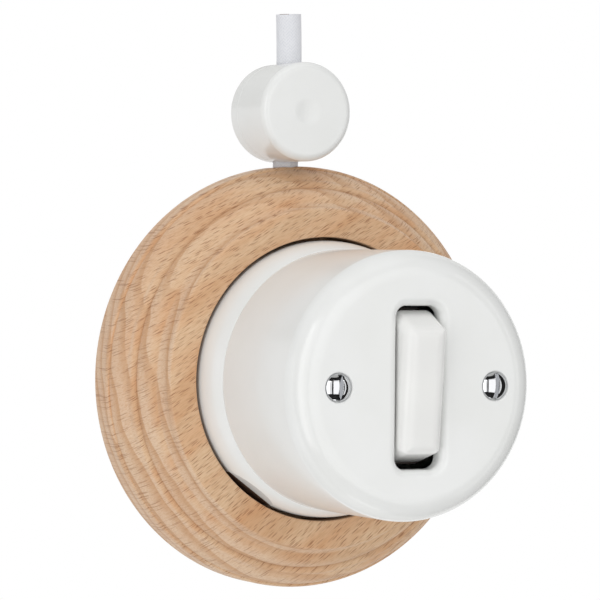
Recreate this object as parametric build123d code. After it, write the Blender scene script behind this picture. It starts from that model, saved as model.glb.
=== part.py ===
"""Porcelain rocker light switch on a turned beech base, with its cord and the porcelain holder that the cord passes.

Every piece is drawn in the wall's own axes: x to the right, y up the wall and z out of the wall, so that a height
is a distance from the wall. WALL then turns each finished piece into the part's frame, where +Z is up, the front
faces -Y and the origin is the centre of the wooden base's back. Sizes are in millimetres and degrees.
"""
from build123d import *
import os
from math import cos, radians, sin, tan

# Wooden base
WOOD_RING = 16.8         # from the recess to the outer radius
RECESS_FLOOR = 12.0      # height of the recess's floor
RECESS_DEPTH = 8.5       # from that floor to the flat front ring
RECESS_ROUND = 0.25      # front edge of the recess
BACK_CHAMFER = 0.5
WALL_HOLE_R = 2.25       # two holes for the wall screws
WALL_HOLE_PITCH = 48.0
WALL_HEAD_R = 4.4        # their countersinks, in the recess's floor
WIRE_HOLE_R = 9.0        # opening behind the switch where the cord ends
WIRE_HOLE_AT = (-8.0, 11.0)

# Turned moulding of the wooden base: inset from the outer radius, and drop below the flat front
FLAT_EDGE = (10.6, 0.0)
FLAT_ROUND = (9.75, 1.1)
GROOVE_INNER = (8.6, 4.4)
GROOVE_MIDDLE = (5.25, 8.0)
GROOVE_OUTER = (3.3, 9.1)
SHOULDER = (0.75, 13.3)
SIDE_TOP = (0.0, 14.2)
FLAT_SWELL = 0.22        # how far each stretch bows out of its chord, or in where it is negative
COVE_SWELL = -0.45
BEAD_SWELL = 0.65
REED_SWELL = 0.4
OUTER_SWELL = 0.5
SHOULDER_SWELL = 0.2

# Porcelain base
BASE_CLEARANCE = 0.8     # gap round it in the recess
BASE_STEP = 2.0          # how far it stands out beyond the cover
BASE_HEIGHT = 16.5       # from the recess's floor to the seam with the cover
BASE_SHOULDER = 8.5      # height of the rounded shoulder below the seam
BASE_FLOOR = 6.0         # thickness of its floor
SPIGOT_HEIGHT = 2.5      # ring that centres the cover
SPIGOT_WALL = 3.7
SPIGOT_CLEARANCE = 0.3
RIM_FLAT_DEPTH = 0.7     # flat on the rim, lower left
RIM_FLAT_ANGLE = 233.0
WIRE_ROOM = 0.9          # round the wires, in their hole

# Porcelain cover
COVER_HEIGHT = 37.5      # from the seam to its face
COVER_WALL = 3.2
COVER_FRONT = 4.0        # thickness of its front
COVER_ROUND = 6.0        # round of the face's rim
COVER_INNER_ROUND = 2.5
COVER_FOOT_ROUND = 0.4
SLOT_AT = (0.55, -0.25)  # middle of the slot; the rocker's bar stands as far to the side
SLOT_SIDE_GAP = 0.3      # beside the rocker
SLOT_END_GAP = 1.0       # beyond the rocker's ends
SLOT_CORNER = 2.6
SLOT_LIP = 2.0           # round of the slot's front edge

# Cover screws and their pillars
SCREW_R = 1.75
SCREW_LENGTH = 13.0
SCREW_CLEARANCE = 0.2    # round a shank or head, in the porcelain
SCREW_HEAD_R = 3.2
SCREW_DOME = 1.5         # rise of the domed head above its rim
SCREW_SINK = 0.4         # depth of that rim below the face
SCREW_CONE = 1.6
SCREW_SLOT_WIDTH = 1.0
SCREW_SLOT_DEPTH = 2.0
SCREW_SLOT_LEAN = 4.0    # how far the slots stand from upright
SEAT_CLEARANCE = 0.1     # between a screw's head and its seat
SEAT_ROUND = 0.35        # rim of the seat
PILLAR_R = 3.0
PILLAR_END_GAP = 0.1     # below the cover's front
PILLAR_ROOM = 1.3        # from a clamp screw's head
POCKET_ROOM = 0.5        # from the pillars to the porcelain base's wall
THREAD_CLEARANCE = 0.04  # between a screw's shank and what it is driven into
TIP_ROOM = 1.0           # hole beyond a screw's tip

# Small screws driven from behind, and the screws into the wood
SMALL_SCREW_R = 1.5
SMALL_HEAD_R = 2.8
SMALL_HEAD_HEIGHT = 2.0
SMALL_SLOT = 0.8
SMALL_SCREW_REACH = 8.0  # length beyond the porcelain floor
SINK_DEPTH = 3.0         # counterbores in the porcelain base's back
BASE_SCREW_ROOM = 1.7    # from the frame to the heads of the screws into the wood
BASE_SCREW_REACH = 7.0   # length in the wood

# Rocker, drawn about its pivot with its face level
TILT = 5.6               # each way from level
ROCKER_WIDTH = 10.6
ROCKER_FACE_HALF = 13.75
ROCKER_PROUD = 2.8       # middle of its face, from the cover's face
ROCKER_FOOT = 0.8        # from the pivot to the rim behind
ROCKER_END_DRAFT = 22.5
ROCKER_SIDE_ROUND = 2.8  # long edges of the face
ROCKER_END_ROUND = 1.2   # ridges between its face and its ends
ROCKER_CORNER = 2.2      # round of its ends' side edges
ROCKER_SHELL = 1.8
HUB_CLEARANCE = 0.2      # to each ear of the frame
PIN_R = 1.0
PIN_CLEARANCE = 0.05
STEM_WALL = 1.55         # round the plunger's bore

# Plunger and its spring, in the rocker's stem
PLUNGER_R = 1.95
PLUNGER_CLEARANCE = 0.09
PLUNGER_REACH = 17.0     # from the pivot to its tip
PLUNGER_NOSE = 4.5       # length beyond the stem
PLUNGER_LENGTH = 10.0
PLUNGER_PIP = 1.0        # length inside the spring
SPRING_WIRE_R = 0.22
SPRING_PLAY = 0.27       # round the spring, in its bore
SPRING_END_GAP = 0.1
SPRING_SEAT = 2.0        # from the pivot to the bottom of the stem's bore
SPRING_TURNS = 5

# Contacts and terminals
SEESAW_WIDTH = 6.0
SEESAW_THICK = 1.0
SEESAW_ROOM = 2.1        # from the seesaw's ends to the frame
SEESAW_LAND = 0.2        # beyond its tips
SEESAW_GAP = 0.06        # from its trunnions to the plunger as it passes over them
TRUNNION_R = 0.7
TRUNNION_CLEARANCE = 0.05
TIP_R = 1.5
TIP_HEIGHT = 0.8
TIP_GAP = 0.06           # between closed tips
STRIP_THICK = 1.2
STRIP_WIDTH = 6.0
FORK_THICK = 1.2         # ears that carry the seesaw
FORK_CLEARANCE = 0.3
FORK_HALF = 2.2
FORK_LAND = 0.7          # above the trunnions
TERMINAL_DEPTH = 5.4     # block outside the frame
TERMINAL_HEIGHT = 9.0
TERMINAL_HOLE_R = 1.3
TERMINAL_HOLE_DEPTH = 7.0
CLAMP_SCREW_R = 1.2
CLAMP_HEAD_R = 2.2
CLAMP_HEAD_HEIGHT = 1.4
CLAMP_SLOT = 0.7

# Mechanism frame
FRAME_END_WALL = 2.2
FRAME_BED = 4.5          # thickness under the contacts
FRAME_RIM = 4.5          # wall above the seesaw
CHAMBER_ROOM = 0.7       # beside the common terminal's ears
EAR_THICK = 2.5
EAR_R = 2.2
EAR_CLEARANCE = 0.7      # beside the rocker
EAR_ROOM = 0.2           # behind the cover's front
EAR_FOOT_HALF = 6.0
LEG_DEPTH = 5.0
STOP_HALF = 4.0
STOP_GAP = 0.12          # between the rocker and its stops
STOP_REACH = 0.27        # beyond the rocker's rim
WINDOW_CLEARANCE = 0.1   # round the strips, in the frame's wall

# Cord holder
KNOB_X = -3.75
KNOB_GAP = 0.95          # above the wooden base
KNOB_R = 11.66
KNOB_HEIGHT = 17.6
KNOB_BASE_HEIGHT = 3.5
KNOB_ROUND = 1.8
KNOB_SEAM = 0.25         # chamfer of the edges that meet
KNOB_SPIGOT_R = 7.5
KNOB_SPIGOT_HEIGHT = 3.0
KNOB_SPIGOT_CLEARANCE = 0.1
KNOB_DIMPLE_R = 2.3
KNOB_DIMPLE_DEPTH = 0.25
KNOB_HOLE_R = 1.7        # hole for its wall screw
KNOB_HOLE_LAND = 1.0
KNOB_HEAD_R = 2.9

# Cord and its wires
CORD_R = 3.0
CORD_CLEARANCE = 0.15    # round the cord, in the holder
CHANNEL_CLEARANCE = 0.25 # round the cord, in the wooden base
CORD_ENTRY = 3.5         # from the upper terminal's wire to the cord's end
CORD_BEND = 0.45         # share of the shorter run that each bend takes up
CORE_R = 1.1
CORE_SPREAD = 1.1        # from the cord's axis to each wire
CORE_PITCH = 2.6         # between the wires where they pass the porcelain base
CORE_BEND = 2.4
BARE_R = 0.8

# Heights, worked out from the sizes above
WOOD_FACE = RECESS_FLOOR + RECESS_DEPTH
FLOOR = RECESS_FLOOR + BASE_FLOOR
SEAM = RECESS_FLOOR + BASE_HEIGHT
FACE = SEAM + COVER_HEIGHT
COVER_BACK = FACE - COVER_FRONT
PIVOT = COVER_BACK - EAR_ROOM - EAR_R
ROCKER_RISE = FACE + ROCKER_PROUD - PIVOT
STEM_LENGTH = PLUNGER_REACH - PLUNGER_NOSE
PLUNGER_TOP = PLUNGER_REACH - PLUNGER_LENGTH
SEESAW = PIVOT - PLUNGER_REACH - SEESAW_GAP - TRUNNION_R

# Widths, from the rocker outwards
BORE_R = PLUNGER_R + PLUNGER_CLEARANCE
STEM_R = BORE_R + STEM_WALL
SPRING_R = BORE_R - SPRING_PLAY - SPRING_WIRE_R
EAR_INNER = ROCKER_WIDTH / 2 + EAR_CLEARANCE
FRAME_HALF_X = EAR_INNER + EAR_THICK
ROCKER_FOOT_HALF = ROCKER_FACE_HALF + (ROCKER_RISE - ROCKER_FOOT) * tan(radians(ROCKER_END_DRAFT))
FRAME_HALF_Y = ROCKER_FOOT_HALF + STOP_REACH
CHAMBER_HALF_Y = FRAME_HALF_Y - FRAME_END_WALL
SEESAW_HALF = CHAMBER_HALF_Y - SEESAW_ROOM
TIP_AT = SEESAW_HALF - SEESAW_LAND - TIP_R
FORK_INNER = SEESAW_WIDTH / 2 + FORK_CLEARANCE
FORK_OUTER = FORK_INNER + FORK_THICK
CHAMBER_HALF_X = FORK_OUTER + CHAMBER_ROOM
LEG_AT = FRAME_HALF_Y - LEG_DEPTH / 2
TERMINAL_INNER = FRAME_HALF_X + WINDOW_CLEARANCE
TERMINAL_OUTER = TERMINAL_INNER + TERMINAL_DEPTH
WIRE_X = -(TERMINAL_INNER + TERMINAL_DEPTH / 2)
TERMINALS = {"upper_terminal": TIP_AT, "common_terminal": 0.0, "lower_terminal": -TIP_AT}
PILLAR_AT = TERMINAL_OUTER + CLAMP_HEAD_HEIGHT + PILLAR_ROOM + PILLAR_R
BASE_SCREW_AT = FRAME_HALF_X + BASE_SCREW_ROOM + SMALL_HEAD_R
POCKET_R = PILLAR_AT + PILLAR_R + POCKET_ROOM
SPIGOT_R = POCKET_R + SPIGOT_WALL
COVER_INNER_R = SPIGOT_R + SPIGOT_CLEARANCE
COVER_R = COVER_INNER_R + COVER_WALL
BASE_R = COVER_R + BASE_STEP
RECESS_R = BASE_R + BASE_CLEARANCE
WOOD_R = RECESS_R + WOOD_RING
KNOB_AT = (KNOB_X, WOOD_R + KNOB_GAP + KNOB_R)

# Points of the cord's route, from inside the wooden base
CORD_ROUTE = [(-2.65, TIP_AT + CORD_ENTRY, 3.2), (-2.65, 33.0, 3.2), (-2.7, 49.0, 3.4), (-2.75, 64.0, 4.7),
              (-2.95, 76.0, 5.8), (-3.6, 86.0, 6.4)]

# Heights of the contacts, set by where the tilted seesaw's tips meet the fixed ones
STRIP_FACE = (SEESAW - (SEESAW_THICK / 2 + TIP_HEIGHT) * cos(radians(TILT))
              - (TIP_AT + TIP_R) * sin(radians(TILT)) - TIP_GAP - TIP_HEIGHT)
STRIP_BACK = STRIP_FACE - STRIP_THICK
FRAME_BACK = STRIP_BACK - FRAME_BED
FRAME_TOP = SEESAW + FRAME_RIM
FORK_TOP = SEESAW + TRUNNION_R + FORK_LAND
TERMINAL_BACK = STRIP_FACE - TERMINAL_HEIGHT
CLAMP_HEIGHT = TERMINAL_BACK + TERMINAL_HOLE_DEPTH / 2

WALL = Plane(origin=(0, 0, 0), x_dir=(1, 0, 0), z_dir=(0, -1, 0))
ON_AXIS = (Align.CENTER, Align.CENTER, Align.MIN)
SIDES = (-1, 1)
NEAR = 1e-3              # tolerance where an edge is picked by its place


def turned(*lines):
    """Solid turned about the z axis from a closed outline of radii and heights."""
    edges = [edge for line in lines for edge in line.edges()]
    return revolve(Plane.XZ * make_face(edges), Axis.Z)


def bowed(start, end, swell):
    """Arc from start to end, whose middle stands off the chord by swell, to the right of the way it runs."""
    along = Vector(*end) - Vector(*start)
    side = Vector(along.Y, -along.X).normalized()
    middle = (Vector(*start) + Vector(*end)) * 0.5 + side * swell
    return ThreePointArc(start, middle, end)


def rod(radius, low, high, at=(0, 0)):
    """Round rod along z between two heights."""
    return Pos(at[0], at[1], low) * Cylinder(radius, high - low, align=ON_AXIS)


def cross_rod(radius, low, high, y, z):
    """Round rod along x between two places."""
    return Pos(low, y, z) * Rot(Y=90) * Cylinder(radius, high - low, align=ON_AXIS)


def cone(low_radius, high_radius, low, high, at=(0, 0)):
    """Cone frustum along z between two heights."""
    return Pos(at[0], at[1], low) * Cone(low_radius, high_radius, high - low, align=ON_AXIS)


def block(x, y, z):
    """Box between two limits on each axis."""
    middle = [(low + high) / 2 for low, high in (x, y, z)]
    return Pos(*middle) * Box(x[1] - x[0], y[1] - y[0], z[1] - z[0])


def plate(half_width, *points):
    """Plate of the given outline in y and z, reaching half_width each way along x."""
    return extrude(Plane.YZ * Polygon(*points, align=None), half_width, both=True)


def circles(solid, radius):
    """Round edges of the given radius, from the wall outwards."""
    rounds = solid.edges().filter_by(GeomType.CIRCLE)
    return rounds.filter_by(lambda edge: abs(edge.radius - radius) < NEAR).sort_by(Axis.Z)


def tube(path, radius):
    """Round solid along a path."""
    return sweep(Plane(origin=path @ 0, z_dir=path % 0) * Circle(radius), path)


def pair(solid, x, y):
    """Two copies of a solid, at a place and at the opposite one."""
    return [Pos(side * x, side * y, 0) * solid for side in SIDES]


def cord_bends():
    """Radius of each bend of the cord, as large as its two runs allow."""
    points = [Vector(*point) for point in CORD_ROUTE]
    runs = [end - start for start, end in zip(points, points[1:])]
    return [CORD_BEND * min(before.length, after.length) / tan(radians(before.get_angle(after)) / 2)
            for before, after in zip(runs, runs[1:])]


def at_rest(rocker_piece):
    """Moves a piece that is drawn about the rocker's pivot to its place, with the rocker's top end out."""
    return Pos(0, 0, PIVOT) * Rot(X=TILT) * rocker_piece


def seesaw_at_rest(seesaw_piece):
    """Moves a piece that is drawn about the seesaw's axis to its place, with the upper contact closed."""
    return Pos(0, 0, SEESAW) * Rot(X=-TILT) * seesaw_piece


def moulding_point(inset_and_drop):
    """Radius and height of a point of the wooden base's moulding."""
    inset, drop = inset_and_drop
    return (WOOD_R - inset, WOOD_FACE - drop)


def wooden_base(cord_path):
    """Turned ring with its recess, the cord's channel and wire hole behind, and the holes for its screws."""
    flat_edge = moulding_point(FLAT_EDGE)
    flat_round = moulding_point(FLAT_ROUND)
    inner = moulding_point(GROOVE_INNER)
    middle = moulding_point(GROOVE_MIDDLE)
    outer = moulding_point(GROOVE_OUTER)
    shoulder = moulding_point(SHOULDER)
    side_top = moulding_point(SIDE_TOP)
    lip_low = (RECESS_R, WOOD_FACE - RECESS_ROUND)
    lip_high = (RECESS_R + RECESS_ROUND, WOOD_FACE)
    ring = turned(
        Polyline((0, 0), (0, RECESS_FLOOR), (RECESS_R, RECESS_FLOOR), lip_low),
        RadiusArc(lip_low, lip_high, RECESS_ROUND),
        Polyline(lip_high, flat_edge),
        bowed(flat_round, flat_edge, FLAT_SWELL),
        bowed(inner, flat_round, COVE_SWELL),
        bowed(middle, inner, BEAD_SWELL),
        bowed(outer, middle, REED_SWELL),
        bowed(shoulder, outer, OUTER_SWELL),
        bowed(side_top, shoulder, SHOULDER_SWELL),
        Polyline(side_top, (WOOD_R, BACK_CHAMFER), (WOOD_R - BACK_CHAMFER, 0), (0, 0)),
    )
    ring -= rod(WIRE_HOLE_R, 0, RECESS_FLOOR, WIRE_HOLE_AT)
    x, start, height = CORD_ROUTE[0]
    half = CORD_R + CHANNEL_CLEARANCE
    ring -= tube(cord_path, half)
    ring -= block((x - half, x + half), (start, WOOD_R), (0, height))
    for side in SIDES:
        at = (side * WALL_HOLE_PITCH / 2, 0)
        ring -= rod(WALL_HOLE_R, 0, RECESS_FLOOR, at)
        ring -= cone(WALL_HOLE_R, WALL_HEAD_R, RECESS_FLOOR - (WALL_HEAD_R - WALL_HOLE_R), RECESS_FLOOR, at)
        ring -= rod(SMALL_SCREW_R + THREAD_CLEARANCE, RECESS_FLOOR - BASE_SCREW_REACH - TIP_ROOM, RECESS_FLOOR,
                    (side * BASE_SCREW_AT, side * BASE_SCREW_AT))
    return ring


def porcelain_base():
    """Glazed base: soft shoulder, flat on the rim, hollow for the mechanism and holes for screws and wires."""
    seam_r = COVER_R + SEAT_CLEARANCE
    shoulder = (BASE_R, SEAM - BASE_SHOULDER)
    body = turned(
        Polyline((0, RECESS_FLOOR), (BASE_R, RECESS_FLOOR), shoulder),
        TangentArc(shoulder, (seam_r, SEAM), tangent=(0, 1)),
        Polyline((seam_r, SEAM), (SPIGOT_R, SEAM), (SPIGOT_R, SEAM + SPIGOT_HEIGHT),
                 (POCKET_R, SEAM + SPIGOT_HEIGHT), (POCKET_R, FLOOR), (0, FLOOR), (0, RECESS_FLOOR)),
    )
    beyond = Pos(BASE_R - RIM_FLAT_DEPTH, 0, RECESS_FLOOR) * Box(
        BASE_R, 2 * BASE_R, 2 * BASE_HEIGHT, align=(Align.MIN, Align.CENTER, Align.CENTER))
    body -= Rot(Z=RIM_FLAT_ANGLE) * beyond
    body -= rod(CORE_PITCH / 2 + CORE_R + WIRE_ROOM, RECESS_FLOOR, FLOOR, (WIRE_X, TIP_AT - CORE_PITCH / 2))
    hole_r = SMALL_SCREW_R + SCREW_CLEARANCE
    for side in SIDES:
        for at in ((side * PILLAR_AT, 0), (0, side * LEG_AT)):
            body -= rod(hole_r, RECESS_FLOOR, FLOOR, at)
            body -= rod(SMALL_HEAD_R + SCREW_CLEARANCE, RECESS_FLOOR, RECESS_FLOOR + SINK_DEPTH, at)
        body -= rod(hole_r, RECESS_FLOOR, FLOOR, (side * BASE_SCREW_AT, side * BASE_SCREW_AT))
    return body


def porcelain_cover():
    """Deep glazed cover with a soft rim, the rocker's slot and the seats of its two screws."""
    shell = turned(Polyline(
        (0, COVER_BACK), (COVER_INNER_R, COVER_BACK), (COVER_INNER_R, SEAM), (COVER_R, SEAM), (COVER_R, FACE),
        (0, FACE), (0, COVER_BACK)))
    shell = fillet(circles(shell, COVER_R)[-1], COVER_ROUND)
    shell = fillet(circles(shell, COVER_R)[0], COVER_FOOT_ROUND)
    shell = fillet(circles(shell, COVER_INNER_R)[-1], COVER_INNER_ROUND)
    width = ROCKER_WIDTH + 2 * SLOT_SIDE_GAP
    height = 2 * (ROCKER_FOOT_HALF + SLOT_END_GAP)
    shell -= extrude(Pos(*SLOT_AT, COVER_BACK) * RectangleRounded(width, height, SLOT_CORNER), COVER_FRONT)
    face_edges = shell.edges().filter_by_position(Axis.Z, FACE - NEAR, FACE + NEAR)
    shell = fillet(face_edges.filter_by(lambda edge: edge.bounding_box().max.X < width
                                        and edge.bounding_box().min.X > -width), SLOT_LIP)
    rim = FACE - SCREW_SINK
    seat_r = SCREW_HEAD_R + SEAT_CLEARANCE
    hole_r = SCREW_R + SCREW_CLEARANCE
    for side in SIDES:
        at = (side * PILLAR_AT, 0)
        shell -= rod(hole_r, COVER_BACK, FACE, at)
        shell -= cone(hole_r, seat_r, rim - SCREW_CONE, rim, at)
        shell -= rod(seat_r, rim, FACE, at)
    return fillet(circles(shell, seat_r)[-2:], SEAT_ROUND)


def cover_screw():
    """Slotted screw with a domed head, its shank in a pillar."""
    rim = FACE - SCREW_SINK
    top = rim + SCREW_DOME
    tip = rim - SCREW_LENGTH
    screw = turned(
        TangentArc((0, top), (SCREW_HEAD_R, rim), tangent=(1, 0)),
        Polyline((SCREW_HEAD_R, rim), (SCREW_R, rim - SCREW_CONE), (SCREW_R, tip), (0, tip), (0, top)),
    )
    slot = block((-SCREW_SLOT_WIDTH / 2, SCREW_SLOT_WIDTH / 2), (-SCREW_HEAD_R, SCREW_HEAD_R),
                 (top - SCREW_SLOT_DEPTH, top))
    return screw - Rot(Z=-SCREW_SLOT_LEAN) * slot


def cover_pillar():
    """Pillar on the porcelain base, tapped at both ends, that takes a cover screw."""
    top = COVER_BACK - PILLAR_END_GAP
    pillar = rod(PILLAR_R, FLOOR, top)
    pillar -= rod(SCREW_R + THREAD_CLEARANCE, FACE - SCREW_SINK - SCREW_LENGTH - TIP_ROOM, top)
    return pillar - rod(SMALL_SCREW_R + THREAD_CLEARANCE, FLOOR, FLOOR + SMALL_SCREW_REACH + TIP_ROOM)


def small_screw(tip, seat):
    """Slotted cheese-head screw along z, its head beyond seat on the side away from its tip."""
    top = seat - SMALL_HEAD_HEIGHT if tip > seat else seat + SMALL_HEAD_HEIGHT
    screw = rod(SMALL_SCREW_R, *sorted((tip, seat))) + rod(SMALL_HEAD_R, *sorted((seat, top)))
    return screw - block((-SMALL_SLOT / 2, SMALL_SLOT / 2), (-SMALL_HEAD_R, SMALL_HEAD_R),
                         sorted(((seat + top) / 2, top)))


def rocker_hollow(end):
    """Space behind one half of the rocker's face, inside its walls."""
    deep = ROCKER_RISE - ROCKER_SHELL
    near = STEM_R + ROCKER_SHELL / 2
    far = ROCKER_FOOT_HALF - ROCKER_SHELL / cos(radians(ROCKER_END_DRAFT))
    slant = (deep - ROCKER_FOOT) * tan(radians(ROCKER_END_DRAFT))
    return plate(ROCKER_WIDTH / 2 - ROCKER_SHELL, (end * near, ROCKER_FOOT), (end * far, ROCKER_FOOT),
                 (end * (far - slant), deep), (end * near, deep))


def rocker():
    """Moulded rocker: drafted ends, rounded long edges, hollow back, a hub on the pin and a stem for the plunger."""
    side_view = ((-ROCKER_FOOT_HALF, ROCKER_FOOT), (ROCKER_FOOT_HALF, ROCKER_FOOT),
                 (ROCKER_FACE_HALF, ROCKER_RISE), (-ROCKER_FACE_HALF, ROCKER_RISE))
    ended = plate(ROCKER_WIDTH / 2, *side_view)
    ended = fillet(ended.edges().filter_by(lambda edge: abs((edge % 0.5).Z) > NEAR), ROCKER_CORNER)
    section = block((-ROCKER_WIDTH / 2, ROCKER_WIDTH / 2), (-ROCKER_FOOT_HALF, ROCKER_FOOT_HALF),
                    (ROCKER_FOOT, ROCKER_RISE))
    section = fillet(section.edges().filter_by(Axis.Y).sort_by(Axis.Z)[-2:], ROCKER_SIDE_ROUND)
    ridged = plate(ROCKER_WIDTH, *side_view)
    ridged = fillet(ridged.edges().filter_by(Axis.X).sort_by(Axis.Z)[-2:], ROCKER_END_ROUND)
    bar = ended & section & ridged
    for end in SIDES:
        bar -= rocker_hollow(end)
    bar = Pos(SLOT_AT[0], 0, 0) * bar
    hub_half = EAR_INNER - HUB_CLEARANCE
    bar += cross_rod(EAR_R, -hub_half, hub_half, 0, 0)
    bar += rod(STEM_R, -STEM_LENGTH, ROCKER_FOOT)
    bar -= cross_rod(PIN_R + PIN_CLEARANCE, -hub_half, hub_half, 0, 0)
    return at_rest(bar - rod(BORE_R, -STEM_LENGTH, -SPRING_SEAT))


def pivot_pin():
    """Axle of the rocker, held in the frame's ears."""
    return cross_rod(PIN_R, -FRAME_HALF_X, FRAME_HALF_X, 0, PIVOT)


def plunger():
    """Round-nosed plunger that slides in the rocker's stem, with a pip inside its spring."""
    nose = -PLUNGER_REACH + PLUNGER_R
    pin = rod(PLUNGER_R, nose, -PLUNGER_TOP) + Pos(0, 0, nose) * Sphere(PLUNGER_R)
    return at_rest(pin + rod(SPRING_R - 2 * SPRING_WIRE_R, -PLUNGER_TOP, -PLUNGER_TOP + PLUNGER_PIP))


def plunger_spring():
    """Coil spring between the bottom of the stem's bore and the plunger."""
    low = -PLUNGER_TOP + SPRING_WIRE_R + SPRING_END_GAP
    high = -SPRING_SEAT - SPRING_WIRE_R - SPRING_END_GAP
    coil = Helix(pitch=(high - low) / SPRING_TURNS, height=high - low, radius=SPRING_R)
    wire = Plane(origin=coil @ 0, z_dir=coil % 0) * Circle(SPRING_WIRE_R)
    return at_rest(Pos(0, 0, low) * sweep(wire, coil, is_frenet=True))


def seesaw_contact():
    """Contact arm on its two trunnions."""
    half = SEESAW_THICK / 2
    arm = block((-SEESAW_WIDTH / 2, SEESAW_WIDTH / 2), (-SEESAW_HALF, SEESAW_HALF), (-half, half))
    return seesaw_at_rest(arm + cross_rod(TRUNNION_R, -FORK_OUTER, FORK_OUTER, 0, 0))


def terminal(y, end_x):
    """Strip through the frame's wall to a block with a wire hole and a tapped hole for its clamp screw."""
    across = (y - STRIP_WIDTH / 2, y + STRIP_WIDTH / 2)
    body = block((-TERMINAL_INNER, end_x), across, (STRIP_BACK, STRIP_FACE))
    body += block((-TERMINAL_OUTER, -TERMINAL_INNER), across, (TERMINAL_BACK, STRIP_FACE))
    body -= rod(TERMINAL_HOLE_R, TERMINAL_BACK, TERMINAL_BACK + TERMINAL_HOLE_DEPTH, (WIRE_X, y))
    return body - cross_rod(CLAMP_SCREW_R + THREAD_CLEARANCE, -TERMINAL_OUTER, WIRE_X, y, CLAMP_HEIGHT)


def common_terminal():
    """Terminal whose two upright ears carry the seesaw's trunnions."""
    body = terminal(TERMINALS["common_terminal"], FORK_OUTER)
    for side in SIDES:
        x = sorted((side * FORK_INNER, side * FORK_OUTER))
        body += block(x, (-FORK_HALF, FORK_HALF), (STRIP_FACE, FORK_TOP))
    return body - cross_rod(TRUNNION_R + TRUNNION_CLEARANCE, -FORK_OUTER, FORK_OUTER, 0, SEESAW)


def clamp_screw():
    """Slotted clamp screw that presses a wire in its terminal."""
    outer = -TERMINAL_OUTER - CLAMP_HEAD_HEIGHT
    screw = cross_rod(CLAMP_SCREW_R, -TERMINAL_OUTER, WIRE_X - BARE_R - THREAD_CLEARANCE, 0, CLAMP_HEIGHT)
    screw += cross_rod(CLAMP_HEAD_R, outer, -TERMINAL_OUTER, 0, CLAMP_HEIGHT)
    return screw - block((outer, outer + CLAMP_HEAD_HEIGHT / 2), (-CLAMP_HEAD_R, CLAMP_HEAD_R),
                         (CLAMP_HEIGHT - CLAMP_SLOT / 2, CLAMP_HEIGHT + CLAMP_SLOT / 2))


def frame_end(end):
    """Leg below one end of the frame, tapped for its screw, and the sloped post above that stops the rocker."""
    leg_y = sorted((end * (FRAME_HALF_Y - LEG_DEPTH), end * FRAME_HALF_Y))
    leg = block((-FRAME_HALF_X, FRAME_HALF_X), leg_y, (FLOOR, FRAME_BACK))
    leg -= rod(SMALL_SCREW_R + THREAD_CLEARANCE, FLOOR, FLOOR + SMALL_SCREW_REACH + TIP_ROOM, (0, end * LEG_AT))
    rise = PIVOT + (ROCKER_FOOT - STOP_GAP) / cos(radians(TILT))
    slope = tan(radians(TILT))
    post = plate(STOP_HALF, (end * CHAMBER_HALF_Y, FRAME_TOP), (end * FRAME_HALF_Y, FRAME_TOP),
                 (end * FRAME_HALF_Y, rise - FRAME_HALF_Y * slope),
                 (end * CHAMBER_HALF_Y, rise - CHAMBER_HALF_Y * slope))
    return leg, post


def frame_ear(side):
    """Ear on one side of the frame that holds the pivot pin."""
    low, high = sorted((side * EAR_INNER, side * FRAME_HALF_X))
    ear = plate(EAR_THICK / 2, (-EAR_FOOT_HALF, FRAME_TOP), (EAR_FOOT_HALF, FRAME_TOP), (EAR_R, PIVOT),
                (-EAR_R, PIVOT))
    return Pos((low + high) / 2, 0, 0) * ear + cross_rod(EAR_R, low, high, 0, PIVOT)


def mechanism_frame():
    """Moulded carrier: contact chamber on two legs, ears for the pivot pin and posts that stop the rocker."""
    frame = block((-FRAME_HALF_X, FRAME_HALF_X), (-FRAME_HALF_Y, FRAME_HALF_Y), (FRAME_BACK, FRAME_TOP))
    frame -= block((-CHAMBER_HALF_X, CHAMBER_HALF_X), (-CHAMBER_HALF_Y, CHAMBER_HALF_Y), (STRIP_BACK, FRAME_TOP))
    for side in SIDES:
        leg, post = frame_end(side)
        frame += leg
        frame += post
        frame += frame_ear(side)
    frame -= cross_rod(PIN_R + THREAD_CLEARANCE, -FRAME_HALF_X, FRAME_HALF_X, 0, PIVOT)
    half = STRIP_WIDTH / 2 + WINDOW_CLEARANCE
    for y in TERMINALS.values():
        frame -= block((-FRAME_HALF_X, -CHAMBER_HALF_X), (y - half, y + half),
                       (STRIP_BACK, FORK_TOP + WINDOW_CLEARANCE))
    return frame


def knob_base(cord_channel):
    """Back disc of the cord holder, with two cheeks beside the cord and a countersunk hole for its wall screw."""
    disc = rod(KNOB_R, 0, KNOB_BASE_HEIGHT)
    disc = chamfer(circles(disc, KNOB_R)[-1], KNOB_SEAM)
    top = KNOB_BASE_HEIGHT + KNOB_SPIGOT_HEIGHT
    disc += rod(KNOB_SPIGOT_R, KNOB_BASE_HEIGHT, top)
    sink_top = KNOB_HOLE_LAND + KNOB_HEAD_R - KNOB_HOLE_R
    disc -= rod(KNOB_HOLE_R, 0, KNOB_HOLE_LAND)
    disc -= cone(KNOB_HOLE_R, KNOB_HEAD_R, KNOB_HOLE_LAND, sink_top)
    disc -= rod(KNOB_HEAD_R, sink_top, top)
    return Pos(*KNOB_AT, 0) * disc - cord_channel


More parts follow.
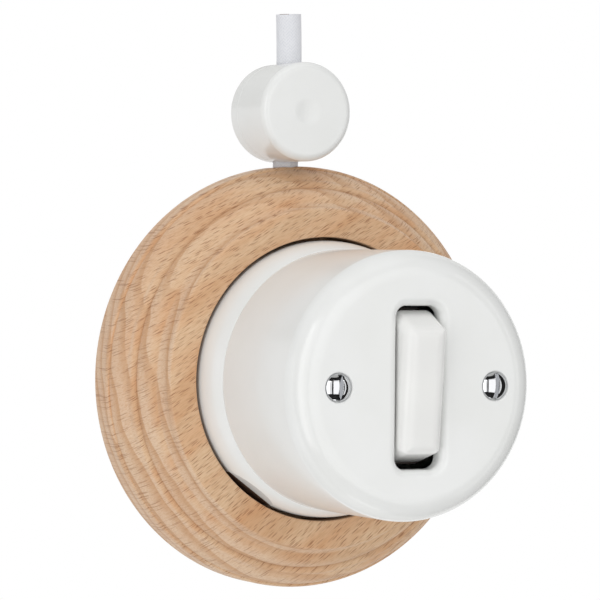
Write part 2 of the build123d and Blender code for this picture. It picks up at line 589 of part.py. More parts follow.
def knob_cap(cord_channel):
    """Front of the cord holder: a round button with a soft edge and a faint dimple, hollow over the disc's cheeks."""
    cap = rod(KNOB_R, KNOB_BASE_HEIGHT, KNOB_HEIGHT)
    cap = fillet(circles(cap, KNOB_R)[-1], KNOB_ROUND)
    cap = chamfer(circles(cap, KNOB_R)[0], KNOB_SEAM)
    cap -= rod(KNOB_SPIGOT_R + KNOB_SPIGOT_CLEARANCE, KNOB_BASE_HEIGHT,
               KNOB_BASE_HEIGHT + KNOB_SPIGOT_HEIGHT + KNOB_SPIGOT_CLEARANCE)
    ball_r = (KNOB_DIMPLE_R ** 2 + KNOB_DIMPLE_DEPTH ** 2) / (2 * KNOB_DIMPLE_DEPTH)
    cap -= Pos(0, 0, KNOB_HEIGHT - KNOB_DIMPLE_DEPTH + ball_r) * Sphere(ball_r)
    return Pos(*KNOB_AT, 0) * cap - cord_channel


def brown_core():
    """Insulated wire from the cord's end, straight out through the porcelain base to the upper terminal."""
    x, y, height = CORD_ROUTE[0]
    x -= CORE_SPREAD
    points = [(x, y, height), (x, TIP_AT, height), (WIRE_X, TIP_AT, height), (WIRE_X, TIP_AT, TERMINAL_BACK)]
    return tube(FilletPolyline(*points, radius=CORE_BEND), CORE_R)


def blue_core():
    """Insulated wire from the cord's end, beside the other one and then down to the common terminal."""
    x, y, height = CORD_ROUTE[0]
    x += CORE_SPREAD
    side = TIP_AT - CORE_PITCH
    turn = TERMINAL_BACK - 2 * CORE_BEND
    end = TERMINALS["common_terminal"]
    points = [(x, y, height), (x, side, height), (WIRE_X, side, height), (WIRE_X, side, turn), (WIRE_X, end, turn),
              (WIRE_X, end, TERMINAL_BACK)]
    return tube(FilletPolyline(*points, radius=CORE_BEND), CORE_R)


def copper_ends():
    """Bare ends of the two wires, inside their terminals."""
    high = TERMINAL_BACK + TERMINAL_HOLE_DEPTH - TIP_ROOM
    return [rod(BARE_R, TERMINAL_BACK, high, (WIRE_X, TERMINALS[name])) for name in
            ("upper_terminal", "common_terminal")]


def save(name, *solids):
    """Turns a piece into the part's frame and writes it as one file."""
    placed = [WALL.location * solid for solid in solids]
    export_step(placed[0] if len(placed) == 1 else Compound(children=placed), f"parts/{name}.step")


def save_switch(cord_path):
    """Writes the wooden base, the porcelain and the screws that hold them."""
    save("wooden_base", wooden_base(cord_path))
    save("porcelain_base", porcelain_base())
    save("porcelain_cover", porcelain_cover())
    save("cover_screws", *pair(cover_screw(), PILLAR_AT, 0))
    save("cover_pillars", *pair(cover_pillar(), PILLAR_AT, 0))
    from_behind = small_screw(FLOOR + SMALL_SCREW_REACH, RECESS_FLOOR + SINK_DEPTH)
    save("pillar_screws", *pair(from_behind, PILLAR_AT, 0))
    save("frame_screws", *pair(from_behind, 0, LEG_AT))
    save("base_screws", *pair(small_screw(RECESS_FLOOR - BASE_SCREW_REACH, FLOOR), BASE_SCREW_AT, BASE_SCREW_AT))


def save_mechanism():
    """Writes the rocker, its snap action, the contacts and the terminals."""
    save("mechanism_frame", mechanism_frame())
    save("pivot_pin", pivot_pin())
    save("rocker", rocker())
    save("plunger", plunger())
    save("plunger_spring", plunger_spring())
    save("seesaw_contact", seesaw_contact())
    back = -SEESAW_THICK / 2
    save("moving_tips", *[seesaw_at_rest(tip) for tip in pair(rod(TIP_R, back - TIP_HEIGHT, back), 0, TIP_AT)])
    save("fixed_tips", *pair(rod(TIP_R, STRIP_FACE, STRIP_FACE + TIP_HEIGHT), 0, TIP_AT))
    save("common_terminal", common_terminal())
    for name in ("upper_terminal", "lower_terminal"):
        save(name, terminal(TERMINALS[name], SEESAW_WIDTH / 2))
    save("terminal_screws", *[Pos(0, y, 0) * clamp_screw() for y in TERMINALS.values()])


def save_cord(cord_path):
    """Writes the cord, the holder that it passes through and its wires."""
    cord = tube(cord_path, CORD_R)
    print("cord length, mm:", round(cord_path.length, 2))
    print("cord volume over section times length:", round(cord.volume / (Circle(CORD_R).area * cord_path.length), 4))
    channel = tube(cord_path, CORD_R + CORD_CLEARANCE)
    save("cord", cord)
    save("knob_base", knob_base(channel))
    save("knob_cap", knob_cap(channel))
    save("brown_core", brown_core())
    save("blue_core", blue_core())
    save("copper_ends", *copper_ends())


def main():
    """Builds and writes every piece."""
    os.makedirs("parts", exist_ok=True)
    bends = cord_bends()
    print("cord bends, mm:", [round(bend, 1) for bend in bends])
    cord_path = FilletPolyline(*CORD_ROUTE, radius=bends)
    save_switch(cord_path)
    save_mechanism()
    save_cord(cord_path)


if __name__ == "__main__":
    main()
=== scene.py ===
"""Looks of a porcelain light switch on a turned beech base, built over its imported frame.

Sizes are in millimetres and degrees in the wall's own axes: x to the right, up the wall, and out of the wall.
The frame has +Z up and its front towards -Y, in metres, and place() turns one into the other.
"""

import logging
import math
from dataclasses import dataclass
from enum import Enum
from typing import Callable, Dict, List, Sequence, Tuple, Union

import bmesh
import bpy
import numpy as np
from mathutils import Matrix, Vector


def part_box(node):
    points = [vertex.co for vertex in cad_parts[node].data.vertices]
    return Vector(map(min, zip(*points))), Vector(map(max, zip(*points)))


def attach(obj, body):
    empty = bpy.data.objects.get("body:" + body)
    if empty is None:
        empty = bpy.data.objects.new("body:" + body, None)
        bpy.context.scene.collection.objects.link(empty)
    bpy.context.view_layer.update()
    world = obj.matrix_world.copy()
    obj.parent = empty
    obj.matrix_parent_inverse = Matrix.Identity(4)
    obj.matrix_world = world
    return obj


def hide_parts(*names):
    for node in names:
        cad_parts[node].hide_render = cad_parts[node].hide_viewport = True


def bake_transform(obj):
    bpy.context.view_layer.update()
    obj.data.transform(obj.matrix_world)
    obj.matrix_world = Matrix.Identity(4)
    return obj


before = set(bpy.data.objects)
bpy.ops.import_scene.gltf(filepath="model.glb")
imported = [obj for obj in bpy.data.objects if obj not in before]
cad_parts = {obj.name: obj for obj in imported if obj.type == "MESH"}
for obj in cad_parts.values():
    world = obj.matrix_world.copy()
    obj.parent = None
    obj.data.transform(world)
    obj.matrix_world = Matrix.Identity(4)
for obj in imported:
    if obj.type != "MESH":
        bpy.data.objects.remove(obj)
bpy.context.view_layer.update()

LOG = logging.getLogger("porcelain_switch")
MM = 0.001
WELD = 1e-6              # metres: points nearer than this are one point
CUT_WELD = WELD / 10     # metres: points nearer than this to a cutting plane lie on it
LATHE_STEPS = 240        # facets round a turned piece
TOOL_STEPS = 96          # facets round a tool
ARC_STEP = 5.0           # degrees between the points of a rounded stretch
QUARTER_SWELL = 1 - math.cos(math.radians(45))  # swell of a quarter round of radius 1
CREASE = 32.0            # smallest angle between faces that stays an edge
FACING = 0.9             # cosine from which a face counts as facing a direction
BEYOND = 1.0             # how far a tool reaches past what it cuts
PROUD = 0.003            # of a lip's end, past the face, so that the lip's cut runs out cleanly
SIDES = (-1, 1)
TILT = 5.6               # of the rocker at rest, its top end out
WHITE = "#FFFFFF"

Pair = Tuple[float, float]
Point = Tuple[float, float, float]
Colour = Tuple[float, float, float, float]
Window = Tuple[float, float, float, float]  # left, right, low and high, in degrees
Tree = bpy.types.NodeTree
Node = bpy.types.Node
Output = bpy.types.NodeSocket
Socket = Union[float, Sequence[float], Output]
Piece = bpy.types.Object


class Body(Enum):
    """Moving bodies of the frame that new pieces ride on."""

    HOUSING = "housing"
    ROCKER = "rocker"
    PLUNGER = "plunger"


class Joining(Enum):
    """What a tool shape does to the piece that it meets."""

    CUT = "DIFFERENCE"
    ADD = "UNION"
    KEEP = "INTERSECT"


class Part(Enum):
    """Parts of a mesh that can be picked, each with the name of the mesh's list of them."""

    VERT = "verts"
    EDGE = "edges"
    FACE = "faces"


class BarEdges(Enum):
    """Edges of the rocker's bar that are rounded alike, by the axis of the frame that they follow."""

    RIDGE = 0                    # between its face and its ends
    CORNER = 1                   # between its ends and its sides
    LONG = 2                     # between its face and its sides


def place(x: float, up: float, out: float) -> Vector:
    """Point of the frame, in metres, from the wall's axes in millimetres."""
    return Vector((x, -out, up)) * MM


def bearing(azimuth: float, elevation: float) -> Vector:
    """Works out the direction from the switch to something that stands round it.

    Args:
        azimuth: degrees round the switch, 0 in front, rising to the right.
        elevation: degrees up.

    Returns:
        The direction, with a length of 1.
    """
    turn, rise = math.radians(azimuth), math.radians(elevation)
    return Vector((math.sin(turn) * math.cos(rise), -math.cos(turn) * math.cos(rise), math.sin(rise)))


def node_span(node: str) -> Tuple[Vector, Vector]:
    """Finds where a CAD node lies.

    Args:
        node: name of the node.

    Returns:
        Its lowest and highest x, up and out, in millimetres.
    """
    low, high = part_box(node)
    return Vector((low.x, low.z, -high.y)) / MM, Vector((high.x, high.z, -low.y)) / MM


def linear(hex_colour: str) -> Colour:
    """Turns an sRGB colour to linear.

    Args:
        hex_colour: its hex value, such as #D0A578.

    Returns:
        Its linear red, green and blue, and full alpha.
    """
    parts = [int(hex_colour[i:i + 2], 16) / 255 for i in (1, 3, 5)]
    red, green, blue = (c / 12.92 if c <= 0.04045 else ((c + 0.055) / 1.055) ** 2.4 for c in parts)
    return red, green, blue, 1.0


def add_node(tree: Tree, kind: str, inputs: Dict[Union[str, int], Socket], **settings: object) -> Node:
    """Adds a shader node with its settings and links.

    Args:
        tree: node tree that takes it.
        kind: Blender's name for the node, without its ShaderNode prefix.
        inputs: for each socket, a fixed value or the output that feeds it.
        settings: options of the node.

    Returns:
        The new node.
    """
    node = tree.nodes.new("ShaderNode" + kind)
    for option, value in settings.items():
        setattr(node, option, value)
    for socket, value in inputs.items():
        if isinstance(value, bpy.types.NodeSocket):
            tree.links.new(value, node.inputs[socket])
        else:
            node.inputs[socket].default_value = value
    return node


# Finishes


@dataclass(frozen=True)
class Finish:
    """Surface finish, which makes its own material."""

    name: str
    colour: str
    roughness: float

    def material(self) -> bpy.types.Material:
        """Makes this finish's material, the first time that it is asked for.

        Returns:
            The material.
        """
        known = bpy.data.materials.get(self.name)
        if known is not None:
            return known
        material = bpy.data.materials.new(self.name)
        material.use_nodes = True
        material.node_tree.nodes.clear()
        shader = self.shader(material.node_tree)
        add_node(material.node_tree, "OutputMaterial", {"Surface": shader.outputs[0]})
        return material

    def shader(self, tree: Tree) -> Node:
        """Builds the shader of this finish; each kind of finish has its own."""
        raise NotImplementedError


@dataclass(frozen=True)
class OiledBeech(Finish):
    """Flat-sawn beech, turned and oiled: warm tan with short dark flecks along the grain.

    The flecks are its cut rays. The wood is solid, so the rings that lie flat in the front cross the beads as
    bands, and the slopes that face along the grain show its greyer end.
    """

    deep: str = "#D29563"        # warmer stretches
    late: str = "#BB8859"        # dense wood at the end of each year's ring
    fleck: str = "#85491F"
    oil_and_groove_shade: str = "#8C6442"      # painted shade in the grooves, with the oil that gathers there
    end: str = "#DCC2A9"         # end grain
    grain_lean: float = 33.5     # rise of the grain at the middle, from level
    grain_bend: float = 2.9      # how it steepens downwards, per metre
    grain_dive: float = 2.2      # of the trunk's axis, into the board
    pith_depth: float = 95.0     # from the back to the middle of the trunk
    ring_pitch: float = 3.3
    ring_wander: float = 7.0
    ring_start: float = 0.35     # share of a ring's width where its wood starts to darken
    ring_peak: float = 0.93      # and where it is darkest
    # Cells of the patterns: along the grain, towards the pith and across
    wander_size: Point = (90.0, 26.0, 22.0)
    sway_size: Point = (9.0, 9.0, 6.0)
    tone_size: Point = (38.0, 16.0, 7.0)
    fleck_size: Point = (3.3, 12.0, 0.3)
    pore_size: Point = (2.2, 0.5, 0.2)
    swell_size: Point = (7.0, 3.0, 3.0)
    sway: float = 0.7            # how far the grain wavers
    swell: float = 0.45          # height of the grain that the oil raised
    dent: float = 0.08           # depth of pores and flecks
    slope_weight: float = 0.3    # of any slope in how much end grain shows, against one along the grain
    most_end: float = 0.65       # most that end grain shows
    oil_and_shade_reach: float = 1.6       # how far that painted shade and oil reach from the corner of a groove
    sheen: Pair = (-0.06, 0.08)  # how far the roughness varies
    refraction: float = 1.45

    def stretched(self, tree: Tree, wood: Output, size: Point) -> Output:
        """Scales the wood's own axes.

        Args:
            tree: node tree that takes the node.
            wood: place in the wood, in metres.
            size: millimetres of one pattern cell along the grain, towards the pith and across.

        Returns:
            Place in the wood, in cells.
        """
        scale = tuple(1 / (length * MM) for length in size)
        return add_node(tree, "VectorMath", {0: wood, 1: scale}, operation="MULTIPLY").outputs[0]

    def grain(self, tree: Tree) -> Output:
        """Bends and turns the object's axes to the wood's own.

        Args:
            tree: node tree that takes the nodes.

        Returns:
            Place in the wood, in metres, along the grain, towards the pith and across.
        """
        spot = add_node(tree, "TexCoord", {}).outputs["Object"]
        height = add_node(tree, "SeparateXYZ", {0: spot}).outputs["Z"]
        square_height = add_node(tree, "Math", {0: height, 1: height}, operation="MULTIPLY")
        lift = add_node(tree, "CombineXYZ", {"Z": square_height.outputs[0]})
        bent = add_node(tree, "VectorMath", {0: lift.outputs[0], 1: (0.0, 0.0, self.grain_bend), 2: spot},
                        operation="MULTIPLY_ADD")
        turn = (0.0, math.radians(self.grain_lean), math.radians(self.grain_dive))
        return add_node(tree, "Mapping", {"Vector": bent.outputs[0], "Rotation": turn,
                                          "Location": (0.0, -self.pith_depth * MM, 0.0)}).outputs[0]

    def rings(self, tree: Tree, wood: Output) -> Output:
        """Works out where the dense end of each year's ring shows.

        Args:
            tree: node tree that takes the nodes.
            wood: place in the wood, in metres.

        Returns:
            0 in the pale wood, rising to 1 at the end of a ring.
        """
        wander = add_node(tree, "TexNoise", {"Vector": self.stretched(tree, wood, self.wander_size),
                                             "Scale": 1.0, "Detail": 2.0})
        across = add_node(tree, "VectorMath", {0: wood, 1: (0.0, 1.0, 1.0)}, operation="MULTIPLY")
        radius = add_node(tree, "VectorMath", {0: across.outputs[0]}, operation="LENGTH")
        count = add_node(tree, "Math", {0: radius.outputs["Value"], 1: 1 / (self.ring_pitch * MM)},
                         operation="MULTIPLY")
        moved = add_node(tree, "Math", {0: wander.outputs["Fac"], 1: self.ring_wander / self.ring_pitch,
                                        2: count.outputs[0]}, operation="MULTIPLY_ADD")
        share = add_node(tree, "Math", {0: moved.outputs[0]}, operation="FRACT").outputs[0]
        rise = add_node(tree, "MapRange", {"Value": share, "From Min": self.ring_start,
                                           "From Max": self.ring_peak}, interpolation_type="SMOOTHSTEP")
        fall = add_node(tree, "MapRange", {"Value": share, "From Min": self.ring_peak, "From Max": 1.0,
                                           "To Min": 1.0, "To Max": 0.0}, interpolation_type="SMOOTHSTEP")
        return add_node(tree, "Math", {0: rise.outputs[0], 1: fall.outputs[0]},
                        operation="MULTIPLY").outputs[0]

    def flecks(self, tree: Tree, wood: Output) -> Output:
        """Works out where the cut rays show as short dark strokes.

        Args:
            tree: node tree that takes the nodes.
            wood: place in the wood, in metres.

        Returns:
            0 beside the flecks, and up to 1 in their middle.
        """
        cells = add_node(tree, "TexVoronoi", {"Vector": self.stretched(tree, wood, self.fleck_size),
                                              "Scale": 1.0})
        stroke = add_node(tree, "MapRange", {"Value": cells.outputs["Distance"], "From Min": 0.2,
                                             "From Max": 0.44, "To Min": 1.0, "To Max": 0.0},
                          interpolation_type="SMOOTHSTEP")
        chance = add_node(tree, "SeparateColor", {0: cells.outputs["Color"]})
        kept = add_node(tree, "MapRange", {"Value": chance.outputs[0], "From Max": 0.7, "To Min": 0.25})
        return add_node(tree, "Math", {0: stroke.outputs[0], 1: kept.outputs[0]},
                        operation="MULTIPLY").outputs[0]

    def end_grain(self, tree: Tree) -> Output:
        """Works out how much of the wood's end each slope shows.

        Args:
            tree: node tree that takes the nodes.

        Returns:
            0 on the flat front, and up to most_end where a slope faces along the grain.
        """
        normal = add_node(tree, "NewGeometry", {}).outputs["Normal"]
        lean = math.radians(self.grain_lean)
        facing = add_node(tree, "VectorMath", {0: normal, 1: (math.cos(lean), 0.0, math.sin(lean))},
                          operation="DOT_PRODUCT").outputs["Value"]
        front = add_node(tree, "SeparateXYZ", {0: normal}).outputs["Y"]
        along, level = (add_node(tree, "Math", {0: part, 1: part}, operation="MULTIPLY").outputs[0]
                        for part in (facing, front))
        sloped = add_node(tree, "Math", {0: level, 1: -self.slope_weight, 2: self.slope_weight},
                          operation="MULTIPLY_ADD")
        cut = add_node(tree, "Math", {0: along, 1: 1 - self.slope_weight, 2: sloped.outputs[0]},
                       operation="MULTIPLY_ADD")
        return add_node(tree, "MapRange", {"Value": cut.outputs[0], "From Min": 0.03, "From Max": 0.5,
                                           "To Max": self.most_end},
                        interpolation_type="SMOOTHSTEP").outputs[0]

    def shader(self, tree: Tree) -> Node:
        """Lays tone, end grain, rings, pores, flecks, and painted groove shade with oil over each other.

        Args:
            tree: node tree that takes the nodes.

        Returns:
            The shader.
        """
        wood = self.grain(tree)
        sway = add_node(tree, "TexNoise", {"Vector": self.stretched(tree, wood, self.sway_size),
                                           "Scale": 1.0})
        wavy = add_node(tree, "VectorMath", {0: sway.outputs["Color"], 1: (0.0, 0.0, self.sway * MM),
                                             2: wood}, operation="MULTIPLY_ADD").outputs[0]
        tone, pores, raised = (
            add_node(tree, "TexNoise", {"Vector": self.stretched(tree, where, size), "Scale": 1.0,
                                        "Detail": detail}).outputs["Fac"]
            for where, size, detail in ((wood, self.tone_size, 3.0), (wavy, self.pore_size, 2.0),
                                        (wood, self.swell_size, 2.0)))
        ends = self.end_grain(tree)
        flecks = self.flecks(tree, wavy)
        hollow = add_node(tree, "AmbientOcclusion", {"Distance": self.oil_and_shade_reach * MM}, samples=6)
        warmth = add_node(tree, "MapRange", {"Value": tone, "From Min": 0.42, "From Max": 0.7, "To Max": 0.7})
        sharp = add_node(tree, "MapRange", {"Value": ends, "From Max": self.most_end, "To Min": 0.2,
                                            "To Max": 0.55})
        year = add_node(tree, "Math", {0: self.rings(tree, wavy), 1: sharp.outputs[0]}, operation="MULTIPLY")
        open_pore = add_node(tree, "MapRange", {"Value": pores, "From Min": 0.42, "From Max": 0.72,
                                                "To Max": 0.42})
        strength = add_node(tree, "MapRange", {"Value": ends, "To Min": 0.66, "To Max": 0.35})
        dark = add_node(tree, "Math", {0: flecks, 1: strength.outputs[0]}, operation="MULTIPLY")
        # Painted shade, with oil: darker where ambient occlusion finds a groove
        groove_oil_and_shade = add_node(tree, "MapRange", {"Value": hollow.outputs["AO"], "From Min": 0.45, "From Max": 0.9,
                                          "To Min": 0.4, "To Max": 0.0})
        colour: Socket = linear(self.colour)
        for share, tint in ((warmth.outputs[0], self.deep), (ends, self.end), (year.outputs[0], self.late),
                            (open_pore.outputs[0], self.late), (dark.outputs[0], self.fleck),
                            (groove_oil_and_shade.outputs[0], self.oil_and_groove_shade)):
            colour = add_node(tree, "Mix", {0: share, 6: colour, 7: linear(tint)},
                              data_type="RGBA").outputs[2]
        dents = add_node(tree, "Math", {0: flecks, 1: pores}, operation="ADD")
        swell = add_node(tree, "Bump", {"Height": raised, "Strength": 0.8, "Distance": self.swell * MM})
        bump = add_node(tree, "Bump", {"Height": dents.outputs[0], "Normal": swell.outputs[0],
                                       "Strength": 0.4, "Distance": self.dent * MM}, invert=True)
        sheen = add_node(tree, "MapRange", {"Value": tone, "To Min": self.roughness + self.sheen[0],
                                            "To Max": self.roughness + self.sheen[1]})
        return add_node(tree, "BsdfPrincipled", {"Base Color": colour, "Roughness": sheen.outputs[0],
                                                 "Normal": bump.outputs[0], "IOR": self.refraction})


@dataclass(frozen=True)
class GlazedPorcelain(Finish):
    """Fired porcelain under a clear glaze: cool white, with a wet shine that wavers where the glaze ran."""

    shade: str = "#EAEBE9"       # where the glaze lies thicker
    pool_size: float = 16.0
    ripple_size: float = 7.0
    ripple: float = 0.012        # height of the glaze's waves
    matt: float = 0.06           # how much rougher the thicker glaze is
    coat: float = 0.3
    coat_roughness: float = 0.08
    refraction: float = 1.5

    def shader(self, tree: Tree) -> Node:
        """Tints the body by the glaze's depth and ripples its surface.

        Args:
            tree: node tree that takes the nodes.

        Returns:
            The shader.
        """
        spot = add_node(tree, "TexCoord", {}).outputs["Object"]
        pools, waves = (add_node(tree, "TexNoise", {"Vector": spot, "Scale": 1 / (size * MM),
                                                    "Detail": detail}).outputs["Fac"]
                        for size, detail in ((self.pool_size, 3.0), (self.ripple_size, 1.0)))
        tint = add_node(tree, "MapRange", {"Value": pools, "From Min": 0.35, "From Max": 0.7})
        body = add_node(tree, "Mix", {0: tint.outputs[0], 6: linear(self.colour), 7: linear(self.shade)},
                        data_type="RGBA")
        bump = add_node(tree, "Bump", {"Height": waves, "Strength": 0.5, "Distance": self.ripple * MM})
        shine = add_node(tree, "MapRange", {"Value": pools, "To Min": self.roughness,
                                            "To Max": self.roughness + self.matt})
        return add_node(tree, "BsdfPrincipled", {"Base Color": body.outputs[2], "Roughness": shine.outputs[0],
                                                 "Normal": bump.outputs[0], "IOR": self.refraction,
                                                 "Coat Weight": self.coat, "Coat IOR": self.refraction,
                                                 "Coat Roughness": self.coat_roughness})


@dataclass(frozen=True)
class Moulded(Finish):
    """Moulded plastic: one even colour with a faint skin from the mould."""

    shade: str                   # where the plastic lies a little thicker
    skin_size: float = 0.5
    skin_depth: float = 0.004
    flow_size: float = 20.0      # of the clouds where the plastic flowed, in skin sizes
    sheen: Pair = (-0.04, 0.06)  # how far the roughness varies
    bleed: float = 0.0           # share of light that spreads under the skin
    bleed_reach: float = 2.5
    refraction: float = 1.5

    def shader(self, tree: Tree) -> Node:
        """Varies colour, shine and height by the mould's skin.

        Args:
            tree: node tree that takes the nodes.

        Returns:
            The shader.
        """
        spot = add_node(tree, "TexCoord", {}).outputs["Object"]
        flow, skin = (add_node(tree, "TexNoise", {"Vector": spot, "Scale": 1 / (size * MM),
                                                  "Detail": 2.0}).outputs["Fac"]
                      for size in (self.flow_size * self.skin_size, self.skin_size))
        body = add_node(tree, "Mix", {0: flow, 6: linear(self.colour), 7: linear(self.shade)},
                        data_type="RGBA")
        shine = add_node(tree, "MapRange", {"Value": skin, "To Min": self.roughness + self.sheen[0],
                                            "To Max": self.roughness + self.sheen[1]})
        bump = add_node(tree, "Bump", {"Height": skin, "Strength": 0.4, "Distance": self.skin_depth * MM})
        return add_node(tree, "BsdfPrincipled", {"Base Color": body.outputs[2], "Roughness": shine.outputs[0],
                                                 "Normal": bump.outputs[0], "IOR": self.refraction,
                                                 "Subsurface Weight": self.bleed,
                                                 "Subsurface Radius": (1.0, 1.0, 1.0),
                                                 "Subsurface Scale": self.bleed_reach * MM})


@dataclass(frozen=True)
class Metal(Finish):
    """Bare or plated metal: its reflections are broken by fine marks and a little tarnish."""

    tarnish: str
    tarnish_share: float
    mark_size: float = 0.6
    mark_spread: float = 0.08    # how far the marks vary the roughness
    cloud_size: float = 5.0      # of the tarnish, in mark sizes

    def shader(self, tree: Tree) -> Node:
        """Clouds the metal with tarnish and varies its polish.

        Args:
            tree: node tree that takes the nodes.

        Returns:
            The shader.
        """
        spot = add_node(tree, "TexCoord", {}).outputs["Object"]
        cloud, marks = (add_node(tree, "TexNoise", {"Vector": spot, "Scale": 1 / (size * MM),
                                                    "Detail": 4.0}).outputs["Fac"]
                        for size in (self.cloud_size * self.mark_size, self.mark_size))
        stain = add_node(tree, "MapRange", {"Value": cloud, "From Min": 0.45, "From Max": 0.8,
                                            "To Max": self.tarnish_share})
        body = add_node(tree, "Mix", {0: stain.outputs[0], 6: linear(self.colour), 7: linear(self.tarnish)},
                        data_type="RGBA")
        polish = add_node(tree, "MapRange", {"Value": marks, "To Min": self.roughness,
                                             "To Max": self.roughness + self.mark_spread})
        return add_node(tree, "BsdfPrincipled", {"Base Color": body.outputs[2], "Metallic": 1.0,
                                                 "Roughness": polish.outputs[0]})


@dataclass(frozen=True)
class WovenSheath(Finish):
    """Braided viscose sheath: bluish white yarns with a soft sheen, with painted shade where they go under.
    """

    gap_shade: str = "#D3D6DE"         # painted shade between the yarns
    fibre_size: float = 0.12
    fibre_depth: float = 0.03
    fuzz: float = 0.25           # how much the fibres blur the braid's height
    sheen: float = 0.25
    sheen_roughness: float = 0.4
    relief_name: str = "braid_height"

    def shader(self, tree: Tree) -> Node:
        """Paints shade between the yarns, by the height that the braid's mesh carries.

        Args:
            tree: node tree that takes the nodes.

        Returns:
            The shader.
        """
        height = add_node(tree, "Attribute", {}, attribute_name=self.relief_name)
        spot = add_node(tree, "TexCoord", {}).outputs["Object"]
        fibres = add_node(tree, "TexNoise", {"Vector": spot, "Scale": 1 / (self.fibre_size * MM),
                                             "Detail": 2.0}).outputs["Fac"]
        fuzzed_height = add_node(tree, "Math", {0: fibres, 1: self.fuzz, 2: height.outputs["Fac"]},
                        operation="MULTIPLY_ADD")
        # Painted shade: the low parts of the braid take the darker colour
        shown = add_node(tree, "MapRange", {"Value": fuzzed_height.outputs[0], "From Min": 0.1, "From Max": 0.85})
        body = add_node(tree, "Mix", {0: shown.outputs[0], 6: linear(self.gap_shade), 7: linear(self.colour)},
                        data_type="RGBA")
        bump = add_node(tree, "Bump", {"Height": fibres, "Strength": 0.4, "Distance": self.fibre_depth * MM})
        return add_node(tree, "BsdfPrincipled", {"Base Color": body.outputs[2], "Roughness": self.roughness,
                                                 "Normal": bump.outputs[0], "Sheen Weight": self.sheen,
                                                 "Sheen Roughness": self.sheen_roughness})


# Tan and dull, with dark strokes along its grain
BEECH = OiledBeech("oiled_beech", "#DFBD99", 0.5)
# Cool white that looks wet
PORCELAIN = GlazedPorcelain("glazed_porcelain", "#EEEFEE", 0.2)
# Milky white, a little softer than the porcelain, since light sinks into it
ROCKER_PLASTIC = Moulded("gloss_moulded_plastic", "#EFEFED", 0.24, shade="#ECECEA", bleed=0.5)
# Bright mirror with a faint blue cast
CHROME = Metal("polished_chrome_plate", "#DCDDDF", 0.04, tarnish="#B4B6BA", tarnish_share=0.1,
               mark_spread=0.03)
# Warm yellow that browns in clouds
BRASS = Metal("drawn_brass", "#D9B364", 0.22, tarnish="#8F6B34", tarnish_share=0.45)
# Plain grey with scuffed highlights
STEEL = Metal("brushed_spring_steel", "#B9BABC", 0.26, tarnish="#7C7A78", tarnish_share=0.35)
# Pale and satin, with a tan bloom
SILVER = Metal("contact_silver", "#E3E1DC", 0.2, tarnish="#9C958A", tarnish_share=0.3)
# Salmon red, darker where it has aged
COPPER = Metal("bare_copper_strand", "#D98F6A", 0.25, tarnish="#8A4F34", tarnish_share=0.4, mark_size=0.3)
# Dark brown and dull
PHENOLIC = Moulded("matt_phenolic_moulding", "#3A2A22", 0.45, shade="#2E211B", skin_size=0.4, skin_depth=0.01)
# Soft plastic with broad highlights, in the usual two colours
BROWN_PVC = Moulded("brown_wire_insulation", "#6B4228", 0.42, shade="#5E3A24", skin_size=0.3)
BLUE_PVC = Moulded("blue_wire_insulation", "#3E6FA8", 0.42, shade="#365F92", skin_size=0.3)
# Chalky white, with no shine
FILLER = Moulded("white_cord_filler", "#E6E5DF", 0.6, shade="#D6D4CB", skin_size=0.3, skin_depth=0.03)
# Dark brown painted shadow, rough with no shine, on the rim flat's lower part deep in the gap by the wood
GAP_SHADOW_PAINT = Moulded("bare_dark_biscuit", "#7A5B47", 0.8, shade="#63493A", skin_size=0.4, skin_depth=0.03)
# Bluish white with a soft glow at its sides
SHEATH = WovenSheath("braided_textile_sheath", "#E9EAEE", 0.7)
# Pale and even, below the view
FLOOR_PAINT = Moulded("pale_floor_paint", "#F0F0EE", 0.7, shade="#ECECEA", skin_size=4.0, skin_depth=0.1)
# Light and dark that only reflections show
GREY_CLOTH = Moulded("grey_cloth", "#DCDCDA", 0.9, shade="#D8D8D6", skin_size=2.0, skin_depth=0.1)
BLACK_CLOTH = Moulded("black_flag_cloth", "#141414", 0.9, shade="#101010", skin_size=2.0, skin_depth=0.1)


# Modelling steps that the pieces share


def clear_selection() -> None:
    """Leaves edit mode and deselects every object."""
    if bpy.context.mode != "OBJECT":
        bpy.ops.object.mode_set(mode="OBJECT")
    bpy.ops.object.select_all(action="DESELECT")


def take(piece: Piece) -> None:
    """Makes a piece the only one selected, and the active one.

    Args:
        piece: piece to take.
    """
    clear_selection()
    piece.select_set(True)
    bpy.context.view_layer.objects.active = piece


def edit(piece: Piece) -> None:
    """Takes a piece into edit mode, with all of it selected.

    Args:
        piece: piece to edit.
    """
    take(piece)
    bpy.ops.object.mode_set(mode="EDIT")
    bpy.ops.mesh.select_all(action="SELECT")


def leave_edit() -> None:
    """Goes back to object mode, and to picking points in the next edit."""
    bpy.ops.mesh.select_mode(type=Part.VERT.name)
    bpy.ops.object.mode_set(mode="OBJECT")


def turn_outwards(weld: bool = False) -> None:
    """Turns all faces of the active piece outwards, and ends its edit.

    Args:
        weld: whether points that meet are made one first.
    """
    bpy.ops.object.mode_set(mode="EDIT")
    bpy.ops.mesh.select_all(action="SELECT")
    if weld:
        bpy.ops.mesh.remove_doubles(threshold=WELD)
    bpy.ops.mesh.normals_make_consistent(inside=False)
    leave_edit()


def pick(piece: Piece, part: Part, wanted: Callable[..., bool]) -> None:
    """Selects what passes a test, of a piece in edit mode, and nothing else.

    Args:
        piece: piece in edit mode.
        part: what is picked.
        wanted: test of one face, edge or point.
    """
    bpy.ops.mesh.select_mode(type=part.name)
    mesh = bmesh.from_edit_mesh(piece.data)
    for element in getattr(mesh, part.value):
        element.select_set(wanted(element))
    bmesh.update_edit_mesh(piece.data)


